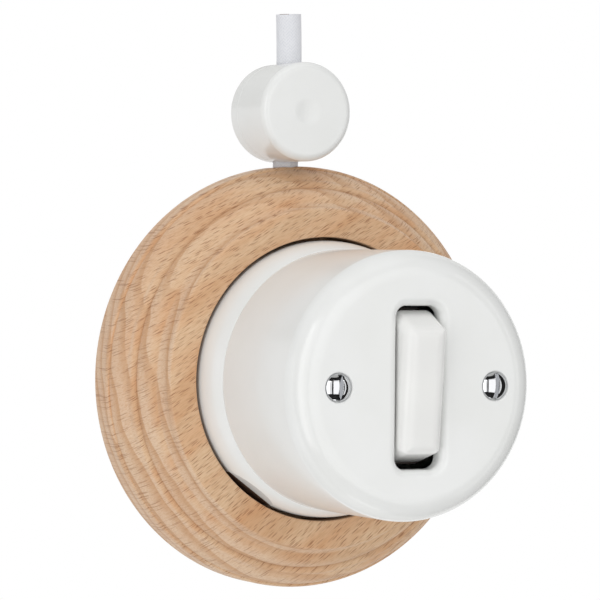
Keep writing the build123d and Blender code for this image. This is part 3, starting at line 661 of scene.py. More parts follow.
def lies_on(face: bmesh.types.BMFace, normal: Vector, level: float) -> bool:
    """Whether a face lies on the plane square to a direction, at a distance along it in metres."""
    return all(abs(corner.co.dot(normal) - level) < WELD for corner in face.verts)


def dress_picked(piece: Piece, finish: Finish, picked: Finish) -> None:
    """Dresses a piece in edit mode in two finishes.

    Args:
        piece: piece in edit mode.
        finish: its main finish.
        picked: finish of the faces that are selected.
    """
    for each in (finish, picked):
        piece.data.materials.append(each.material())
    piece.active_material_index = 1
    bpy.ops.object.material_slot_assign()


def modify(piece: Piece, kind: str, **settings: object) -> None:
    """Gives a piece a modifier and applies it.

    Args:
        piece: piece that changes.
        kind: Blender's name for the modifier.
        settings: options of the modifier.
    """
    take(piece)
    bpy.ops.object.modifier_add(type=kind)
    modifier = piece.modifiers[-1]
    for option, value in settings.items():
        setattr(modifier, option, value)
    bpy.ops.object.modifier_apply(modifier=modifier.name)


def join(piece: Piece, tool: Piece, how: Joining) -> None:
    """Cuts a tool shape from a piece, adds it or keeps what they share, and removes the tool.

    Args:
        piece: piece that changes.
        tool: closed shape that is used up.
        how: what it does to the piece.
    """
    modify(piece, "BOOLEAN", operation=how.value, solver="EXACT", object=tool)
    bpy.data.objects.remove(tool, do_unlink=True)


def rod(low_radius: float, high_radius: float, low: float, high: float, at: Pair) -> Piece:
    """Makes a round tool shape square to the wall, straight or tapered.

    Args:
        low_radius: its radius nearer the wall.
        high_radius: its radius further out.
        low: where it starts, out of the wall.
        high: where it ends, out of the wall.
        at: x and height up the wall of its axis.

    Returns:
        The tool.
    """
    clear_selection()
    bpy.ops.mesh.primitive_cone_add(vertices=TOOL_STEPS, radius1=low_radius * MM, radius2=high_radius * MM,
                                    depth=(high - low) * MM, location=place(*at, (low + high) / 2),
                                    rotation=(math.pi / 2, 0, 0))
    bpy.ops.object.transform_apply()
    return bpy.context.object


def drill(piece: Piece, radius: float, low: float, high: float, at: Pair) -> None:
    """Cuts a round hole square to the wall.

    Args:
        piece: piece that is drilled.
        radius: radius of the hole.
        low: where it starts, out of the wall.
        high: where it ends, out of the wall.
        at: x and height up the wall of its axis.
    """
    join(piece, rod(radius, radius, low, high, at), Joining.CUT)


def block(size: Point, middle: Point, lean: float = 0.0) -> Piece:
    """Makes a box as a tool shape or a start.

    Args:
        size: its size along x, up and out.
        middle: x, up and out of its middle.
        lean: degrees that its top leans to the right.

    Returns:
        The box.
    """
    clear_selection()
    bpy.ops.mesh.primitive_cube_add(size=1.0, location=place(*middle), rotation=(0, math.radians(lean), 0))
    box = bpy.context.object
    box.scale = (size[0] * MM, size[2] * MM, size[1] * MM)
    bpy.ops.object.transform_apply()
    return box


def smooth(piece: Piece) -> None:
    """Shades a piece smooth, with edges kept where faces meet at a crease and flat faces kept flat.

    Args:
        piece: piece to shade.
    """
    take(piece)
    bpy.ops.object.shade_smooth_by_angle(angle=math.radians(CREASE))
    modify(piece, "WEIGHTED_NORMAL", keep_sharp=True)


def declare(piece: Piece, finish: Finish, slot: str, *nodes: str) -> None:
    """Dresses a finished piece, hides the CAD nodes that it stands for and logs it.

    Args:
        piece: finished piece.
        finish: its finish, where it has none yet.
        slot: not used.
        nodes: CAD nodes that it stands for.
    """
    if not piece.data.materials:
        piece.data.materials.append(finish.material())
    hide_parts(*nodes)
    LOG.info("%s: %d faces, %s", piece.name, len(piece.data.polygons), finish.name)


def settle(piece: Piece, finish: Finish, body: Body, slot: str, *nodes: str) -> None:
    """Ties a finished piece to a body of the frame, dresses it and hides the CAD nodes that it stands for.

    Args:
        piece: finished piece.
        finish: its finish, where it has none yet.
        body: body that it moves with.
        slot: not used.
        nodes: CAD nodes that it stands for.
    """
    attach(piece, body.value)
    declare(piece, finish, slot, *nodes)


class Outline:
    """Half section of a turned piece, drawn step by step in radii and heights out of the wall."""

    def __init__(self, radius: float, out: float) -> None:
        """Starts the outline at a point."""
        self.points: List[Pair] = [(radius, out)]

    def line(self, radius: float, out: float) -> "Outline":
        """Draws a straight stretch to a point."""
        self.points.append((radius, out))
        return self

    def bow(self, radius: float, out: float, swell: float) -> "Outline":
        """Draws an arc to a point.

        Args:
            radius: radius of its end.
            out: height of its end.
            swell: how far its middle stands off the chord, to the left of the way it runs.

        Returns:
            The outline.
        """
        start = Vector(self.points[-1])
        along = Vector((radius, out)) - start
        left = Vector((-along.y, along.x)).normalized()
        half = 2 * math.atan(2 * swell / along.length)
        steps = max(3, math.ceil(math.degrees(2 * abs(half)) / ARC_STEP))
        arc_radius = along.length / 2 / math.sin(half)
        for step in range(1, steps + 1):
            angle = half * (2 * step / steps - 1)
            share = 0.5 + arc_radius * math.sin(angle) / along.length
            rise = arc_radius * (math.cos(angle) - math.cos(half))
            self.points.append(tuple(start + along * share + left * rise))
        return self

    def turn(self, name: str, axis: Pair = (0.0, 0.0), steps: int = LATHE_STEPS) -> Piece:
        """Turns the outline about an axis square to the wall.

        Args:
            name: name of the piece.
            axis: x and height up the wall of the axis.
            steps: facets round the piece.

        Returns:
            The turned piece, closed and facing outwards.
        """
        clear_selection()
        bpy.ops.mesh.primitive_plane_add(size=MM, enter_editmode=True)
        piece = bpy.context.object
        piece.name = name
        bpy.ops.mesh.merge(type="CENTER")
        bpy.ops.mesh.select_all(action="SELECT")
        points = [place(axis[0] + radius, axis[1], out) for radius, out in self.points]
        bpy.ops.transform.translate(value=points[0])
        for before, after in zip(points, points[1:]):
            bpy.ops.mesh.extrude_region_move(TRANSFORM_OT_translate={"value": after - before})
        bpy.ops.mesh.select_all(action="SELECT")
        bpy.ops.mesh.spin(steps=steps, angle=math.tau, center=place(*axis, 0.0), axis=(0, 1, 0))
        turn_outwards(weld=True)
        return piece


def pick_level_edges(shape: Piece, levels: Sequence[float]) -> None:
    """Selects the edges that lie flat at given depths of a shape in edit mode.

    Args:
        shape: shape in edit mode.
        levels: depths along the frame's Y, in metres, from the shape's own origin.
    """
    turn = shape.matrix_world.to_3x3()
    pick(shape, Part.EDGE, lambda edge: any(
        all(abs((turn @ corner.co).y - level) < WELD for corner in edge.verts) for level in levels))


def bridged(name: str, at: Pair, sections: Sequence[Tuple[float, float, float, float]],
            corner_steps: int = 8) -> Piece:
    """Bridges rounded rectangles into a closed shape.

    Args:
        name: name of the shape.
        at: x and height up the wall of their middles.
        sections: width, height, corner radius and place out of the wall of each rectangle.
        corner_steps: facets of each corner.

    Returns:
        The shape, facing outwards.
    """
    clear_selection()
    for number, (width, height, corner, out) in enumerate(sections):
        middle = place(*at, out)
        bpy.ops.mesh.primitive_plane_add(size=1.0, enter_editmode=number == 0, location=middle,
                                         rotation=(math.pi / 2, 0, 0))
        bpy.ops.transform.resize(value=(width * MM, 1.0, height * MM), center_override=middle)
        bpy.ops.mesh.bevel(offset=corner * MM, segments=corner_steps, affect="VERTICES")
        bpy.ops.mesh.delete(type="ONLY_FACE")
    shape = bpy.context.object
    shape.name = name
    levels = [-section[3] * MM - shape.location.y for section in sections]
    for pair in zip(levels, levels[1:]):
        pick_level_edges(shape, pair)
        bpy.ops.mesh.bridge_edge_loops()
    for level in (levels[0], levels[-1]):
        pick_level_edges(shape, (level,))
        bpy.ops.mesh.edge_face_add()
    turn_outwards()
    bpy.ops.object.transform_apply()
    return shape


# The object


@dataclass
class TextileCord:
    """Round cord in a braided sheath, cut square at its upper end."""

    route: Tuple[Point, ...] = ((-2.65, 15.0, 3.2), (-2.65, 33.0, 3.2), (-2.7, 49.0, 3.4), (-2.75, 64.0, 4.7),
                                (-2.95, 76.0, 5.8), (-3.6, 86.0, 6.4))
    diameter: float = 6.0
    length: float = 71.1
    yarns: int = 24              # that lean each way, round the cord
    ends: int = 2                # threads laid side by side in each yarn
    braid_depth: float = 0.12
    dive: float = 0.28           # share of its height that a yarn loses where it goes under another
    furrow: float = 0.14         # share that it loses between its threads
    facets: int = 160            # round the cord
    rings: int = 110             # along each stretch of the route
    tool_rings: int = 12         # the same along the tool that cuts its channel
    tool_bevel: int = 14         # Blender's bevel resolution of that tool
    sheath: float = 0.55         # thickness, seen at the cut
    sheath_crease: float = 60.0  # smallest angle that stays an edge on it
    cut_depth: float = 0.25      # of the filler behind the cut
    core_radius: float = 1.1
    core_spread: float = 1.1
    core_facets: int = 48
    core_crease: float = 40.0
    wire_radius: float = 0.8
    wire_sink: float = 0.08      # of the bare metal in its insulation

    def line(self, tube_radius: float = 0.0) -> Piece:
        """Lays a smooth spline along the route.

        Args:
            tube_radius: radius of a tube round the spline, or 0 for the bare spline.

        Returns:
            The curve.
        """
        curve = bpy.data.curves.new("cord_line", "CURVE")
        curve.dimensions = "3D"
        curve.resolution_u = self.tool_rings if tube_radius else self.rings
        spline = curve.splines.new("NURBS")
        spline.points.add(len(self.route) - 1)
        for point, wall_place in zip(spline.points, self.route):
            point.co = (*place(*wall_place), 1.0)
        spline.order_u = 3
        spline.use_endpoint_u = True
        if tube_radius:
            curve.bevel_depth = tube_radius * MM
            curve.bevel_resolution = self.tool_bevel
            curve.use_fill_caps = True
        line = bpy.data.objects.new("cord_line", curve)
        bpy.context.scene.collection.objects.link(line)
        return line

    def channel(self, clearance: float) -> Piece:
        """Makes the tool that cuts the cord's channel.

        Args:
            clearance: room round the cord.

        Returns:
            The tool.
        """
        take(self.line(self.diameter / 2 + clearance))
        bpy.ops.object.convert(target="MESH")
        turn_outwards(weld=True)
        return bpy.context.object

    def centre_line(self) -> np.ndarray:
        """Reads the points of the route's spline.

        Returns:
            Points in metres, from inside the wooden base to the cut end.
        """
        line = self.line()
        bpy.context.view_layer.update()
        mesh = bpy.data.meshes.new_from_object(line)
        points = np.array([vertex.co for vertex in mesh.vertices])
        bpy.data.objects.remove(line, do_unlink=True)
        bpy.data.meshes.remove(mesh)
        return points

    def braid(self, turn: np.ndarray, along: np.ndarray) -> np.ndarray:
        """Works out the braid's height, two yarns over and two under.

        Args:
            turn: share of a turn round the cord.
            along: distance along the cord, in millimetres.

        Returns:
            0 between the yarns to 1 on top of them.
        """
        lead = math.pi * self.diameter
        left = self.yarns * (turn + along / lead)
        right = self.yarns * (turn - along / lead)
        left_on_top = np.mod(np.floor(left) + np.floor(right), 4) < 2
        across = np.where(left_on_top, np.mod(left, 1), np.mod(right, 1))
        over = np.where(left_on_top, np.mod(right, 1), np.mod(left, 1))
        yarn = np.sin(np.pi * across) ** 0.5 * (1 - self.dive + self.dive * np.sin(np.pi * over))
        return yarn * (1 - self.furrow + self.furrow * np.abs(np.sin(np.pi * self.ends * across)))

    def sheath_mesh(self, points: np.ndarray) -> Piece:
        """Weaves the sheath round the spline's points and closes its ends.

        Args:
            points: the cord's centre line, in metres.

        Returns:
            The sheath, with its braid's height as an attribute.
        """
        runs = np.diff(points, axis=0)
        along = np.concatenate(([0.0], np.cumsum(np.linalg.norm(runs, axis=1)))) / MM
        tangents = np.gradient(points, axis=0)
        tangents /= np.linalg.norm(tangents, axis=1)[:, None]
        sideways = np.array([1.0, 0.0, 0.0]) - tangents * tangents[:, :1]
        sideways /= np.linalg.norm(sideways, axis=1)[:, None]
        forwards = np.cross(tangents, sideways)
        turn = np.arange(self.facets) / self.facets
        height = self.braid(turn[None, :], along[:, None])
        radius = (self.diameter / 2 - self.braid_depth * (1 - height)) * MM
        inner = (self.diameter / 2 - self.sheath) * MM
        angle = 2 * np.pi * turn
        spokes = (np.cos(angle)[None, :, None] * sideways[:, None]
                  + np.sin(angle)[None, :, None] * forwards[:, None])
        rings = list(points[:, None] + radius[:, :, None] * spokes)
        top, depth = points[-1], self.cut_depth * MM * tangents[-1]
        rings += [top + inner * spokes[-1], top - depth + inner * spokes[-1]]
        corners = np.concatenate([*rings, np.array([points[0], top - depth])])
        count, last = self.facets, len(rings) - 1
        steps = [(facet, (facet + 1) % count) for facet in range(count)]
        faces = [(ring + facet, ring + beside, ring + count + beside, ring + count + facet)
                 for ring in range(0, last * count, count) for facet, beside in steps]
        foot, crown = len(corners) - 2, len(corners) - 1
        for facet, beside in steps:
            faces += [(foot, beside, facet), (crown, last * count + facet, last * count + beside)]
        mesh = bpy.data.meshes.new("textile_cord")
        mesh.from_pydata([tuple(corner) for corner in corners], [], faces)
        level = mesh.attributes.new(SHEATH.relief_name, "FLOAT", "POINT")
        flat_ends = np.full(len(corners) - height.size, 0.5)
        level.data.foreach_set("value", np.concatenate([height.ravel(), flat_ends]).astype(np.float32))
        for finish in (SHEATH, FILLER):
            mesh.materials.append(finish.material())
        for face in mesh.polygons[-2 * count:]:
            face.material_index = 1
        cord = bpy.data.objects.new("textile_cord", mesh)
        bpy.context.scene.collection.objects.link(cord)
        take(cord)
        turn_outwards()
        bpy.ops.object.shade_smooth_by_angle(angle=math.radians(self.sheath_crease))
        return cord

    def core_end(self, name: str, side: int, top: Vector, along: Vector, insulation: Finish) -> Piece:
        """Models the cut end of one wire: its insulation and the bare metal in it.

        Args:
            name: name of the piece.
            side: which side of the cord's middle it lies on.
            top: middle of the cord's cut end, in metres.
            along: direction of the cord there.
            insulation: finish of its insulation.

        Returns:
            The piece.
        """
        clear_selection()
        bpy.ops.mesh.primitive_cylinder_add(vertices=self.core_facets, radius=self.core_radius * MM,
                                            depth=self.cut_depth * MM, enter_editmode=True)
        piece = bpy.context.object
        piece.name = name
        pick(piece, Part.FACE, lambda face: face.normal.z > FACING)
        bpy.ops.mesh.inset(thickness=(self.core_radius - self.wire_radius) * MM)
        bpy.ops.mesh.extrude_region_move(TRANSFORM_OT_translate={"value": (0, 0, -self.wire_sink * MM)})
        dress_picked(piece, insulation, COPPER)
        leave_edit()
        middle = top - along * (self.cut_depth / 2 * MM) + Vector((side * self.core_spread * MM, 0, 0))
        piece.matrix_world = Matrix.Translation(middle) @ along.to_track_quat("Z", "Y").to_matrix().to_4x4()
        bpy.ops.object.transform_apply()
        bpy.ops.object.shade_smooth_by_angle(angle=math.radians(self.core_crease))
        return piece

    def build(self) -> None:
        points = self.centre_line()
        cord = self.sheath_mesh(points)
        top = Vector(points[-1])
        along = (top - Vector(points[-2])).normalized()
        brown = self.core_end("brown_wire_cut", -1, top, along, BROWN_PVC)
        blue = self.core_end("blue_wire_cut", 1, top, along, BLUE_PVC)
        settle(cord, SHEATH, Body.HOUSING, "textile", "cord")
        settle(brown, BROWN_PVC, Body.HOUSING, "brown_insulation")
        settle(blue, BLUE_PVC, Body.HOUSING, "blue_insulation")


@dataclass
class WoodenBase:
    """Turned beech base: a flat front ring round the recess, then a cove, beads and a rounded shoulder."""

    recess_inset: float = 16.8   # from the outer radius to the recess
    recess_floor: float = 12.0
    recess_round: float = 0.25
    back_chamfer: float = 0.5
    moulding: Tuple[Point, ...] = (
        # inset from the outer radius, drop below the flat front, swell of the stretch that ends there
        (10.6, 0.0, 0.0),
        (9.75, 1.1, 0.22),
        (8.6, 4.4, -0.45),
        (5.25, 8.0, 0.65),
        (3.3, 9.1, 0.4),
        (0.75, 13.3, 0.5),
        (0.0, 14.2, 0.2),
    )
    wall_hole_at: float = 24.0
    wall_hole_radius: float = 2.25
    wall_head_radius: float = 4.4
    wire_hole_radius: float = 9.0
    wire_hole_at: Pair = (-8.0, 11.0)
    pilot_at: float = 13.0       # holes of the screws that hold the porcelain base, each way from the middle
    pilot_radius: float = 1.54
    pilot_floor: float = 4.0
    cord_clearance: float = 0.25

    def outline(self) -> Outline:
        """Draws the half section, from the middle of the recess outwards and round to the back.

        Returns:
            The half section.
        """
        low, high = node_span("wooden_base")
        radius, front = (high.x - low.x) / 2, high.z
        recess = radius - self.recess_inset
        quarter = QUARTER_SWELL * self.recess_round
        half = Outline(0.0, self.recess_floor).line(recess, self.recess_floor)
        half.line(recess, front - self.recess_round).bow(recess + self.recess_round, front, quarter)
        for inset, drop, swell in self.moulding:
            if swell:
                half.bow(radius - inset, front - drop, swell)
            else:
                half.line(radius - inset, front - drop)
        return half.line(radius, self.back_chamfer).line(radius - self.back_chamfer, 0.0).line(0.0, 0.0)

    def build(self, cord: TextileCord) -> None:
        """Turns the base and cuts its holes and the cord's channel.

        Args:
            cord: cord that lies in the channel.
        """
        base = self.outline().turn("turned_beech_base")
        floor, above = self.recess_floor, self.recess_floor + BEYOND
        for side in SIDES:
            at = (side * self.wall_hole_at, 0.0)
            drill(base, self.wall_hole_radius, -BEYOND, floor, at)
            # The cone starts inside the hole, because ends that coincide would leave a face across it
            start = floor - self.wall_head_radius + BEYOND
            join(base, rod(BEYOND, self.wall_head_radius + BEYOND, start, above, at), Joining.CUT)
            pilot = (side * self.pilot_at, side * self.pilot_at)
            drill(base, self.pilot_radius, self.pilot_floor, above, pilot)
        drill(base, self.wire_hole_radius, -BEYOND, above, self.wire_hole_at)
        x, start, out = cord.route[0]
        width = cord.diameter + 2 * self.cord_clearance
        length = node_span("wooden_base")[1].y + BEYOND - start
        channel_floor = block((width, length, out + BEYOND), (x, start + length / 2, (out - BEYOND) / 2))
        join(base, channel_floor, Joining.CUT)
        join(base, cord.channel(self.cord_clearance), Joining.CUT)
        smooth(base)
        settle(base, BEECH, Body.HOUSING, "beech", "wooden_base")


@dataclass
class PorcelainBody:
    """Glazed base with a soft shoulder, and the deep cover that stands on it."""

    base_shoulder: float = 8.5   # height of the base's rounded shoulder
    base_floor: float = 6.0
    seam_step: float = 0.1       # of the base beyond the cover at the seam
    seam_round: float = 0.35
    seam_fall: float = 0.6       # how far that round falls, as a share of its width
    seam_fullness: float = 0.7   # its swell, as a share of a quarter round's
    spigot_inset: float = 3.5    # from the cover's radius
    spigot_wall: float = 3.7
    rim_flat_depth: float = 0.7
    rim_flat_angle: float = 233.0
    leg_at: float = 15.0         # screws of the mechanism, up and down
    post_at: float = 13.0        # screws into the wood, each way from the middle
    hole_radius: float = 1.7
    sink_radius: float = 3.0
    sink_depth: float = 3.0
    wire_hole_radius: float = 3.3
    wire_hole_at: Pair = (-11.3, 10.2)
    cover_wall: float = 3.2
    cover_front: float = 4.0
    cover_round: float = 6.0
    cover_inner_round: float = 2.5
    cover_foot_round: float = 0.4
    level_angle: float = 0.05    # of faces that count as one, on the cover
    slot_at: Pair = (0.55, -0.25)
    slot_width: float = 11.2
    slot_height: float = 36.46
    slot_corner: float = 2.6
    slot_lip: float = 2.0
    slot_lip_steps: int = 9
    screw_hole_radius: float = 1.95
    seat_radius: float = 3.3
    seat_sink: float = 0.4
    seat_cone: float = 1.6
    seat_round: float = 0.35

    def base_outline(self) -> Outline:
        """Draws the base's half section, from the middle of its floor over the spigot and down to its back.

        Returns:
            The half section.
        """
        low, high = node_span("porcelain_base")
        cover_low, cover_high = node_span("porcelain_cover")
        radius, seam = high.x, cover_low.z
        seam_radius = cover_high.x + self.seam_step
        spigot = cover_high.x - self.spigot_inset
        pocket = spigot - self.spigot_wall
        floor = low.z + self.base_floor
        half = Outline(0.0, floor).line(pocket, floor).line(pocket, high.z).line(spigot, high.z)
        half.line(spigot, seam).line(seam_radius - self.seam_round, seam)
        foot = seam - self.base_shoulder
        start = Vector((seam_radius, seam - self.seam_round * self.seam_fall))
        half.bow(start.x, start.y, QUARTER_SWELL * self.seam_round * self.seam_fullness)
        chord = Vector((radius, foot)) - start
        lean = math.atan2(chord.x, -chord.y)
        half.bow(radius, foot, chord.length / 2 * math.tan(lean / 2))
        return half.line(radius, low.z).line(0.0, low.z)

    def build_base(self, screw_at: float) -> None:
        """Turns the base, cuts the flat on its rim, drills it and paints shadow on the flat's lower part.

        Args:
            screw_at: distance of the cover's screws from the middle.
        """
        base = self.base_outline().turn("glazed_base")
        low, high = node_span("porcelain_base")
        angle = math.radians(self.rim_flat_angle)
        out = Vector((math.cos(angle), 0.0, math.sin(angle)))
        flat_radius = high.x - self.rim_flat_depth
        edit(base)
        bpy.ops.mesh.bisect(plane_co=out * flat_radius * MM, plane_no=out, use_fill=True, clear_outer=True,
                            threshold=CUT_WELD)
        leave_edit()
        back, above = low.z - BEYOND, low.z + self.base_floor + BEYOND
        for side in SIDES:
            for at in ((side * screw_at, 0.0), (0.0, side * self.leg_at)):
                drill(base, self.hole_radius, low.z, above, at)
                drill(base, self.sink_radius, back, low.z + self.sink_depth, at)
            drill(base, self.hole_radius, back, above, (side * self.post_at, side * self.post_at))
        drill(base, self.wire_hole_radius, back, above, self.wire_hole_at)
        level = flat_radius * MM
        # Below this height out of the wall the rim flat lies deep in the gap, and gets painted shadow
        painted_shadow_edge = node_span("porcelain_cover")[0].z - self.base_shoulder
        edit(base)
        pick(base, Part.EDGE, lambda edge: sum(lies_on(face, out, level) for face in edge.link_faces) == 1)
        bpy.ops.mesh.mark_sharp()
        pick(base, Part.FACE, lambda face: lies_on(face, out, level))
        bpy.ops.mesh.bisect(plane_co=place(0.0, 0.0, painted_shadow_edge), plane_no=(0.0, 1.0, 0.0), threshold=CUT_WELD)
        pick(base, Part.FACE,
             lambda face: lies_on(face, out, level) and face.calc_center_median().y > -painted_shadow_edge * MM)
        dress_picked(base, PORCELAIN, GAP_SHADOW_PAINT)
        leave_edit()
        smooth(base)
        settle(base, PORCELAIN, Body.HOUSING, "porcelain", "porcelain_base")

    def cover_outline(self) -> Outline:
        """Draws the cover's half section, from the middle of its inside round its foot and up to its face.

        Returns:
            The half section.
        """
        low, high = node_span("porcelain_cover")
        radius, seam, face = high.x, low.z, high.z
        inner, back = radius - self.cover_wall, face - self.cover_front
        half = Outline(0.0, back).line(inner - self.cover_inner_round, back)
        half.bow(inner, back - self.cover_inner_round, QUARTER_SWELL * self.cover_inner_round)
        half.line(inner, seam).line(radius - self.cover_foot_round, seam)
        half.bow(radius, seam + self.cover_foot_round, -QUARTER_SWELL * self.cover_foot_round)
        half.line(radius, face - self.cover_round)
        half.bow(radius - self.cover_round, face, -QUARTER_SWELL * self.cover_round)
        return half.line(0.0, face)

    def slot_tool(self, back: float, face: float) -> Piece:
        """Makes the tool that cuts the rocker's slot with its rounded lip.

        Args:
            back: inside of the cover's front, out of the wall.
            face: its outside.

        Returns:
            The tool.
        """
        sections = [(self.slot_width, self.slot_height, self.slot_corner, back - BEYOND)]
        steps = self.slot_lip_steps
        for step in range(steps + 1):
            angle = math.radians(90 * step / steps)
            grow = self.slot_lip * (1 - math.cos(angle))
            out = face - self.slot_lip * (1 - math.sin(angle))
            if step == steps:
                out += PROUD
            sections.append((self.slot_width + 2 * grow, self.slot_height + 2 * grow,
                             self.slot_corner + grow, out))
        sections.append((*sections[-1][:3], face + BEYOND))
        return bridged("slot_tool", self.slot_at, sections)

    def seat_tool(self, at: Pair, back: float, face: float) -> Piece:
        """Turns the tool that cuts a screw's hole and seat.

        Args:
            at: x and height up the wall of the screw.
            back: inside of the cover's front, out of the wall.
            face: its outside.

        Returns:
            The tool.
        """
        rim = face - self.seat_sink
        lip = self.seat_radius + self.seat_round
        half = Outline(0.0, back - BEYOND).line(self.screw_hole_radius, back - BEYOND)
        half.line(self.screw_hole_radius, rim - self.seat_cone).line(self.seat_radius, rim)
        half.line(self.seat_radius, face - self.seat_round)
        half.bow(lip, face + PROUD, QUARTER_SWELL * self.seat_round)
        return half.line(lip, face + BEYOND).line(0.0, face + BEYOND).turn("seat_tool", at, TOOL_STEPS)

    def build_cover(self, screw_at: float) -> None:
        """Turns the cover and cuts its slot and screw seats.

        Args:
            screw_at: distance of its screws from the middle.
        """
        cover = self.cover_outline().turn("glazed_cover")
        face = node_span("porcelain_cover")[1].z
        back = face - self.cover_front
        edit(cover)
        bpy.ops.mesh.dissolve_limited(angle_limit=math.radians(self.level_angle))
        leave_edit()
        join(cover, self.slot_tool(back, face), Joining.CUT)
        for side in SIDES:
            join(cover, self.seat_tool((side * screw_at, 0.0), back, face), Joining.CUT)
        smooth(cover)
        settle(cover, PORCELAIN, Body.HOUSING, "porcelain", "porcelain_cover")


@dataclass
class CoverScrews:
    """Two chrome screws with slotted domed heads."""

    head_radius: float = 3.2
    head_sink: float = 0.4       # of the head's rim behind the cover's face
    shank_radius: float = 1.75
    dome: float = 1.5
    length: float = 13.0
    cone: float = 1.6
    slot_width: float = 1.0
    slot_depth: float = 2.0
    slot_lean: float = 4.0
    facets: int = 128
    soft_edge: float = 0.07      # bevel of its edges
    soft_angle: float = 50.0     # smallest angle that is bevelled

    def at(self) -> float:
        """Distance of each screw from the middle."""
        return node_span("cover_screws")[1].x - self.head_radius

    def rim(self) -> float:
        """Height of the head's rim: the dome rises from it, and the slot is cut through the dome's top."""
        return node_span("porcelain_cover")[1].z - self.head_sink

    def build(self) -> None:
        """Turns one screw, cuts its slot and copies it."""
        at, rim = self.at(), self.rim()
        top, tip = rim + self.dome, rim - self.length
        half_angle = math.atan2(self.dome, self.head_radius)
        swell = math.hypot(self.dome, self.head_radius) / 2 * math.tan(half_angle / 2)
        half = Outline(0.0, tip).line(self.shank_radius, tip)
        half.line(self.shank_radius, rim - self.cone).line(self.head_radius, rim).bow(0.0, top, -swell)
        screw = half.turn("chrome_screw_left", (-at, 0.0), self.facets)
        slot = block((self.slot_width, 3 * self.head_radius, 2 * self.slot_depth), (-at, 0.0, top),
                     self.slot_lean)
        join(screw, slot, Joining.CUT)
        modify(screw, "BEVEL", width=self.soft_edge * MM, segments=2,
               angle_limit=math.radians(self.soft_angle))
        bpy.ops.object.duplicate()
        twin = bpy.context.object
        twin.name = "chrome_screw_right"
        twin.location = place(2 * at, 0.0, 0.0)
        bpy.ops.object.transform_apply()
        for piece in (screw, twin):
            smooth(piece)
            settle(piece, CHROME, Body.HOUSING, "chrome", "cover_screws")


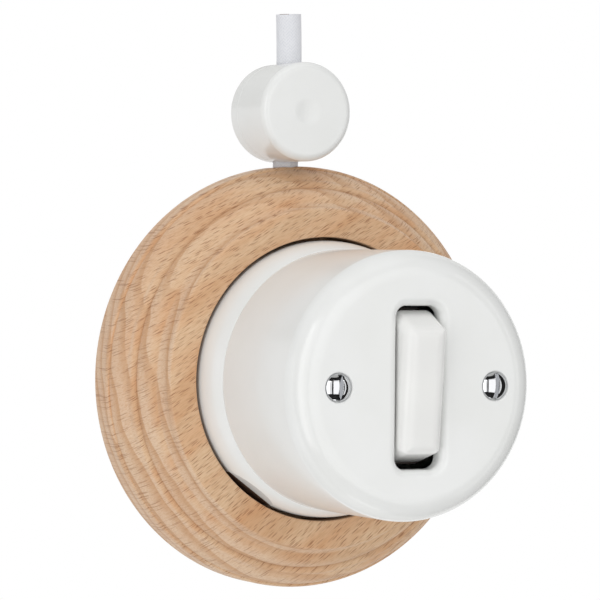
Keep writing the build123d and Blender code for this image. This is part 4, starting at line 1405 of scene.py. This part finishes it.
@dataclass
class Rocker:
    """Moulded rocker with drafted ends and rounded long edges, on its hub and stem."""

    pivot: float = 59.6
    width: float = 10.6
    face_half: float = 13.75
    foot_half: float = 17.23
    rise: float = 9.2            # from the pivot to its face
    foot: float = 0.8
    side_round: float = 2.8
    end_round: float = 2.4       # ridges between its face and its ends
    corner: float = 2.2          # round of its ends' side edges
    round_steps: int = 10        # facets of each round
    along_axis: float = 0.8      # cosine from which an edge counts as following an axis
    grain: float = 0.22          # mesh size of its softened skin
    softening: float = 0.5       # how far each pass evens that skin
    passes: int = 14
    aside: float = 0.55          # of the bar, from the stem
    shell: float = 1.8
    draft: float = 22.5
    hub_radius: float = 2.2
    hub_half: float = 5.8
    pin_radius: float = 1.05
    stem_radius: float = 3.59
    stem_length: float = 12.5
    bore_radius: float = 2.04
    bore_floor: float = 2.0

    def is_rounded(self, edge: bmesh.types.BMEdge, edges: BarEdges) -> bool:
        """Tells the edges that are rounded from the rest of a block.

        Args:
            edge: edge of the block.
            edges: kind of edges that are rounded.

        Returns:
            Whether it is of that kind, and not at the block's back.
        """
        along = (edge.verts[1].co - edge.verts[0].co).normalized()
        behind = all(corner.co.y > -(self.foot * MM + WELD) for corner in edge.verts)
        return abs(along[edges.value]) > self.along_axis and not behind

    def rounded(self, edges: BarEdges, width: float, reach: float) -> Piece:
        """Makes a block as tall as the bar, about its pivot, with one kind of its edges rounded.

        Args:
            edges: edges that are rounded.
            width: width of the block.
            reach: how far the rounding reaches from each edge.

        Returns:
            The block.
        """
        depth = self.rise - self.foot
        shape = block((width, 2 * self.foot_half, depth), (0.0, 0.0, self.foot + depth / 2))
        edit(shape)
        pick(shape, Part.FACE, lambda face: face.normal.y < -FACING)
        if edges is not BarEdges.LONG:
            bpy.ops.transform.resize(value=(1.0, 1.0, self.face_half / self.foot_half),
                                     center_override=place(0.0, 0.0, self.rise))
        pick(shape, Part.EDGE, lambda edge: self.is_rounded(edge, edges))
        bpy.ops.mesh.bevel(offset=reach * MM, segments=self.round_steps, affect="EDGES")
        leave_edit()
        return shape

    def bar(self) -> Piece:
        """Shapes the rocker's bar, with its face level, as what three rounded blocks share.

        Returns:
            The bar.
        """
        bar = self.rounded(BarEdges.CORNER, self.width, self.corner)
        bar.name = "rocker_key"
        join(bar, self.rounded(BarEdges.LONG, self.width, self.side_round), Joining.KEEP)
        reach = self.end_round * math.tan(math.radians(45 - self.draft / 2))
        join(bar, self.rounded(BarEdges.RIDGE, self.width + 2 * BEYOND, reach), Joining.KEEP)
        modify(bar, "REMESH", mode="VOXEL", voxel_size=self.grain * MM)
        modify(bar, "SMOOTH", factor=self.softening, iterations=self.passes)
        return bar

    def hollow(self, end: int) -> Piece:
        """Makes the tool that hollows one half of the bar behind its face.

        Args:
            end: -1 for the lower half, 1 for the upper one.

        Returns:
            The tool.
        """
        near = self.stem_radius + self.shell / 2
        draft = math.radians(self.draft)
        far = self.foot_half - self.shell / math.cos(draft)
        deep = self.rise - self.shell
        tool = block((self.width - 2 * self.shell, far - near, deep - self.foot + BEYOND),
                     (0.0, end * (near + far) / 2, (deep + self.foot - BEYOND) / 2))
        edit(tool)
        pick(tool, Part.VERT,
             lambda corner: corner.co.y < -self.foot * MM and abs(corner.co.z) > (near + far) / 2 * MM)
        bpy.ops.transform.translate(value=(0, 0, -end * (deep - self.foot) * math.tan(draft) * MM))
        leave_edit()
        return tool

    def cross_rod(self, radius: float, half: float) -> Piece:
        """Makes a round tool along x through the pivot.

        Args:
            radius: its radius.
            half: how far it reaches each way.

        Returns:
            The tool.
        """
        clear_selection()
        bpy.ops.mesh.primitive_cylinder_add(vertices=TOOL_STEPS, radius=radius * MM, depth=2 * half * MM,
                                            rotation=(0, math.pi / 2, 0))
        bpy.ops.object.transform_apply()
        return bpy.context.object

    def build(self) -> None:
        """Shapes the rocker about its pivot and tips it to its place."""
        key = self.bar()
        for end in SIDES:
            join(key, self.hollow(end), Joining.CUT)
        take(key)
        key.location.x = self.aside * MM
        bpy.ops.object.transform_apply()
        axis = (0.0, 0.0)
        join(key, self.cross_rod(self.hub_radius, self.hub_half), Joining.ADD)
        stem = rod(self.stem_radius, self.stem_radius, -self.stem_length, self.foot + self.shell, axis)
        join(key, stem, Joining.ADD)
        join(key, self.cross_rod(self.pin_radius, self.hub_half + BEYOND), Joining.CUT)
        drill(key, self.bore_radius, -self.stem_length - BEYOND, -self.bore_floor, axis)
        take(key)
        key.rotation_euler = (math.radians(TILT), 0.0, 0.0)
        key.location = place(0.0, 0.0, self.pivot)
        bpy.ops.object.transform_apply()
        smooth(key)
        settle(key, ROCKER_PLASTIC, Body.ROCKER, "rocker_plastic", "rocker")


@dataclass
class PlungerSpring:
    """Coil spring in the rocker's stem, which the plunger presses."""

    wire_radius: float = 0.22
    wire_facets: int = 16
    radius: float = 1.55         # of the coil, to the wire's middle
    turns: int = 5
    turn_steps: int = 40
    seat: float = -2.32          # wire's middle at the bottom of the stem's bore, from the pivot
    tip: float = -6.68           # the same on the plunger

    def build(self, pivot: float) -> None:
        """Winds the coil, closes its ends, tips it into the stem and dresses it.

        Args:
            pivot: how far the rocker's pivot is from the wall.
        """
        clear_selection()
        bpy.ops.mesh.primitive_circle_add(vertices=self.wire_facets, radius=self.wire_radius * MM,
                                          rotation=(math.pi / 2, 0.0, 0.0),
                                          location=(self.radius * MM, 0.0, self.tip * MM))
        spring = bpy.context.object
        spring.name = spring.data.name = "coil_spring"
        bpy.ops.object.transform_apply()
        modify(spring, "SCREW", screw_offset=(self.seat - self.tip) / self.turns * MM, iterations=self.turns,
               steps=self.turn_steps, render_steps=self.turn_steps)
        edit(spring)
        bpy.ops.mesh.fill_holes(sides=0)
        turn_outwards()
        spring.rotation_euler = (math.pi / 2 + math.radians(TILT), 0.0, 0.0)
        spring.location = place(0.0, 0.0, pivot)
        bpy.context.view_layer.update()
        bpy.ops.object.transform_apply()
        smooth(spring)
        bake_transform(spring)
        declare(spring, STEEL, "steel", "plunger_spring")


@dataclass
class CordHolder:
    """Porcelain button in two halves that the cord passes through, above the switch."""

    edge_round: float = 1.8
    seam: float = 0.12           # chamfer of the edges that meet
    spigot_radius: float = 7.5
    spigot_clearance: float = 0.1
    dimple_radius: float = 2.3
    dimple_depth: float = 0.25
    dimple_soft: float = 0.6     # width of its soft rim, as a share of its radius
    dimple_fall: float = 0.4     # share of its depth that the rim takes
    dimple_bow: float = 0.02     # how far the rim swells
    dimple_flatness: float = 7.0  # its depth, as a multiple of its bottom's swell
    hole_radius: float = 1.7
    hole_land: float = 1.0
    head_radius: float = 2.9
    cord_clearance: float = 0.15

    def build(self, cord: TextileCord) -> None:
        """Turns both halves and cuts the cord's channel through them.

        Args:
            cord: cord that passes through.
        """
        low, high = node_span("knob_cap")
        radius = (high.x - low.x) / 2
        axis = ((low.x + high.x) / 2, (low.y + high.y) / 2)
        seam, front = low.z, high.z
        spigot_top = node_span("knob_base")[1].z
        sink = self.hole_land + self.head_radius - self.hole_radius
        half = Outline(self.hole_radius, 0.0).line(self.hole_radius, self.hole_land)
        half.line(self.head_radius, sink).line(self.head_radius, spigot_top)
        half.line(self.spigot_radius, spigot_top).line(self.spigot_radius, seam)
        half.line(radius - self.seam, seam).line(radius, seam - self.seam).line(radius, 0.0)
        disc = half.line(self.hole_radius, 0.0).turn("cord_holder_disc", axis)
        roof = spigot_top + self.spigot_clearance
        wall = self.spigot_radius + self.spigot_clearance
        half = Outline(0.0, roof).line(wall, roof).line(wall, seam).line(radius - self.seam, seam)
        half.line(radius, seam + self.seam).line(radius, front - self.edge_round)
        half.bow(radius - self.edge_round, front, -QUARTER_SWELL * self.edge_round)
        half.line(self.dimple_radius + self.dimple_soft * self.dimple_radius, front)
        half.bow(self.dimple_radius, front - self.dimple_fall * self.dimple_depth, -self.dimple_bow)
        half.bow(0.0, front - self.dimple_depth, self.dimple_depth / self.dimple_flatness)
        button = half.turn("cord_holder_button", axis)
        for piece, node in ((disc, "knob_base"), (button, "knob_cap")):
            join(piece, cord.channel(self.cord_clearance), Joining.CUT)
            smooth(piece)
            settle(piece, PORCELAIN, Body.HOUSING, "porcelain", node)


@dataclass
class Mechanism:
    """Inner pieces that keep their CAD shapes and get their real finishes."""

    def finishes(self) -> Dict[str, Finish]:
        """Lists the nodes that are shown as they are.

        Returns:
            The finish of each.
        """
        return {
            "cover_pillars": BRASS, "pillar_screws": STEEL, "frame_screws": STEEL, "base_screws": STEEL,
            "mechanism_frame": PHENOLIC, "pivot_pin": STEEL, "plunger": PHENOLIC,
            "seesaw_contact": BRASS, "moving_tips": SILVER, "fixed_tips": SILVER, "common_terminal": BRASS,
            "upper_terminal": BRASS, "lower_terminal": BRASS, "terminal_screws": STEEL,
            "brown_core": BROWN_PVC, "blue_core": BLUE_PVC, "copper_ends": COPPER,
        }

    def dress(self) -> None:
        """Puts each finish on its node."""
        for node, finish in self.finishes().items():
            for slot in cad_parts[node].material_slots:
                slot.material = finish.material()
            LOG.info("%s: CAD shape, %s", node, finish.name)


@dataclass
class Softbox:
    """Large soft lamp that faces the switch."""

    name: str
    azimuth: float               # degrees round the switch, 0 in front
    elevation: float
    distance: float              # metres, as are its width and height
    width: float
    height: float
    power: float

    def hang(self) -> None:
        """Adds the lamp, facing the switch."""
        towards = bearing(self.azimuth, self.elevation)
        clear_selection()
        bpy.ops.object.light_add(type="AREA", location=towards * self.distance)
        lamp = bpy.context.object
        lamp.name = lamp.data.name = self.name
        lamp.rotation_euler = (-towards).to_track_quat("-Z", "Y").to_euler()
        lamp.data.shape = "RECTANGLE"
        lamp.data.size, lamp.data.size_y = self.width, self.height
        lamp.data.energy = self.power


@dataclass
class Studio:
    """Plain studio: a long lens at the photograph's angle, soft lamps, a white surround and a pale floor."""

    azimuth: float = -26.25
    elevation: float = 2.13
    roll: float = 0.53
    distance: float = 0.8        # metres from the middle of the wooden base's back
    focal_pixels: float = 3337.84
    frame_pixels: float = 600.0
    origin_pixel: Pair = (286.86, 375.79)  # where that middle shows
    sensor_width: float = 36.0
    nearest: float = 0.01        # metres that the camera sees from
    ambient: float = 0.56
    floor_drop: float = 1.1      # metres, as is its size
    floor_size: float = 2.2
    lamps: Tuple[Softbox, ...] = (
        Softbox("left_softbox", -62.0, 0.0, 1.5, 0.85, 2.2, 6.4),
        Softbox("front_softbox", -2.0, 0.0, 1.5, 1.5, 2.2, 3.7),
        Softbox("top_softbox", 0.0, 60.0, 1.5, 3.2, 0.9, 9.5),
        Softbox("low_softbox", -4.0, -66.0, 1.0, 0.9, 0.6, 1.4),
        Softbox("back_softbox", 165.0, 15.0, 1.8, 1.2, 1.2, 4.0),
    )
    surround_radius: float = 0.34  # metres from the cover's face to what its metal mirrors
    surround_step: float = 2.25    # degrees
    flagged: Window = (-92.0, 116.0, -76.0, 62.0)  # reach of the flags
    cloth_from: float = 16.0       # degrees up where the grey cloth starts
    openings: Tuple[Window, ...] = (  # between them, where lamps and the white show
        (-71.0, -36.5, -38.0, 38.0), (-27.5, 36.0, -40.0, 42.0), (50.0, 60.0, -36.0, 36.0),
    )

    def set_camera(self) -> None:
        """Stands the camera where the photograph was taken from."""
        turn, roll = math.radians(self.azimuth), math.radians(self.roll)
        back = bearing(self.azimuth, self.elevation)
        level = Vector((math.cos(turn), math.sin(turn), 0.0))
        upright = back.cross(level)
        right = level * math.cos(roll) + upright * math.sin(roll)
        up = upright * math.cos(roll) - level * math.sin(roll)
        basis = Matrix((right, up, back)).transposed().to_4x4()
        middle = self.frame_pixels / 2
        yaw = math.atan((middle - self.origin_pixel[0]) / self.focal_pixels)
        pitch = math.atan((self.origin_pixel[1] - middle) / self.focal_pixels)
        aim = Matrix.Rotation(-yaw, 4, "Y") @ Matrix.Rotation(pitch, 4, "X")
        clear_selection()
        bpy.ops.object.camera_add()
        camera = bpy.context.object
        camera.name = "photo_camera"
        camera.matrix_world = Matrix.Translation(back * self.distance) @ basis @ aim
        camera.data.sensor_width = self.sensor_width
        camera.data.lens = self.focal_pixels / self.frame_pixels * self.sensor_width
        camera.data.clip_start = self.nearest
        bpy.context.scene.camera = camera

    def light_world(self) -> None:
        """Makes the surround white where it is seen or mirrored, and a plain soft light otherwise."""
        world = bpy.data.worlds.new("white_surround")
        world.use_nodes = True
        tree = world.node_tree
        tree.nodes.clear()
        path = add_node(tree, "LightPath", {}).outputs
        mirrored = add_node(tree, "Math", {0: path["Is Glossy Ray"], 1: path["Is Transmission Ray"]},
                            operation="MAXIMUM")
        seen = add_node(tree, "Math", {0: path["Is Camera Ray"], 1: mirrored.outputs[0]}, operation="MAXIMUM")
        soft, white = (add_node(tree, "Background", {"Color": linear(WHITE), "Strength": strength})
                       for strength in (self.ambient, 1.0))
        both = add_node(tree, "MixShader", {0: seen.outputs[0], 1: soft.outputs[0], 2: white.outputs[0]})
        add_node(tree, "OutputWorld", {"Surface": both.outputs[0]})
        bpy.context.scene.world = world

    def lay_floor(self) -> None:
        """Lays the pale floor, below the view."""
        clear_selection()
        bpy.ops.mesh.primitive_plane_add(size=self.floor_size, location=(0.0, 0.0, -self.floor_drop))
        floor = bpy.context.object
        floor.name = "pale_floor"
        floor.data.materials.append(FLOOR_PAINT.material())

    def covering(self, face: bmesh.types.BMFace) -> Tuple[bool, bool]:
        """Works out what hangs at a face of the surround.

        Args:
            face: face of the surround.

        Returns:
            Whether a flag hangs there, and whether it is left open.
        """
        ray = face.calc_center_median()
        turn = math.degrees(math.atan2(ray.x, -ray.y))
        rise = math.degrees(math.atan2(ray.z, math.hypot(ray.x, ray.y)))
        flag, *openings = (left < turn < right and low < rise < high
                           for left, right, low, high in (self.flagged, *self.openings))
        return flag, any(openings) or not flag and rise < self.cloth_from

    def hang_flags(self) -> None:
        """Hangs black flags between the lamps and grey cloth behind, seen only in reflections.

        Polished metal needs dark to mirror, and the glaze would mirror the white surround along its edges.
        """
        clear_selection()
        middle = place(0.0, 0.0, node_span("porcelain_cover")[1].z)
        bpy.ops.mesh.primitive_uv_sphere_add(segments=round(360 / self.surround_step), location=middle,
                                             ring_count=round(180 / self.surround_step),
                                             radius=self.surround_radius, enter_editmode=True)
        cloth = bpy.context.object
        cloth.name = "dark_surround"
        for finish in (GREY_CLOTH, BLACK_CLOTH):
            cloth.data.materials.append(finish.material())
        mesh = bmesh.from_edit_mesh(cloth.data)
        for face in mesh.faces:
            face.material_index = int(self.covering(face)[0])
        pick(cloth, Part.FACE, lambda face: self.covering(face)[1])
        bpy.ops.mesh.delete(type="FACE")
        leave_edit()
        bpy.ops.object.transform_apply()
        cloth.visible_camera = cloth.visible_diffuse = cloth.visible_shadow = False
        cloth.visible_transmission = cloth.visible_volume_scatter = False

    def set_up(self) -> None:
        """Sets the camera, the lamps, the surround, the floor and the flags."""
        self.set_camera()
        self.light_world()
        self.lay_floor()
        self.hang_flags()
        for lamp in self.lamps:
            lamp.hang()
        bpy.context.scene.view_settings.view_transform = "Standard"


def main() -> None:
    """Builds the studio and every piece of the switch."""
    logging.basicConfig(level=logging.INFO, format="%(message)s")
    Studio().set_up()
    cord = TextileCord()
    cord.build()
    WoodenBase().build(cord)
    screws = CoverScrews()
    body = PorcelainBody()
    body.build_base(screws.at())
    body.build_cover(screws.at())
    screws.build()
    rocker = Rocker()
    rocker.build()
    PlungerSpring().build(rocker.pivot)
    CordHolder().build(cord)
    Mechanism().dress()
    clear_selection()


if __name__ == "__main__":
    main()
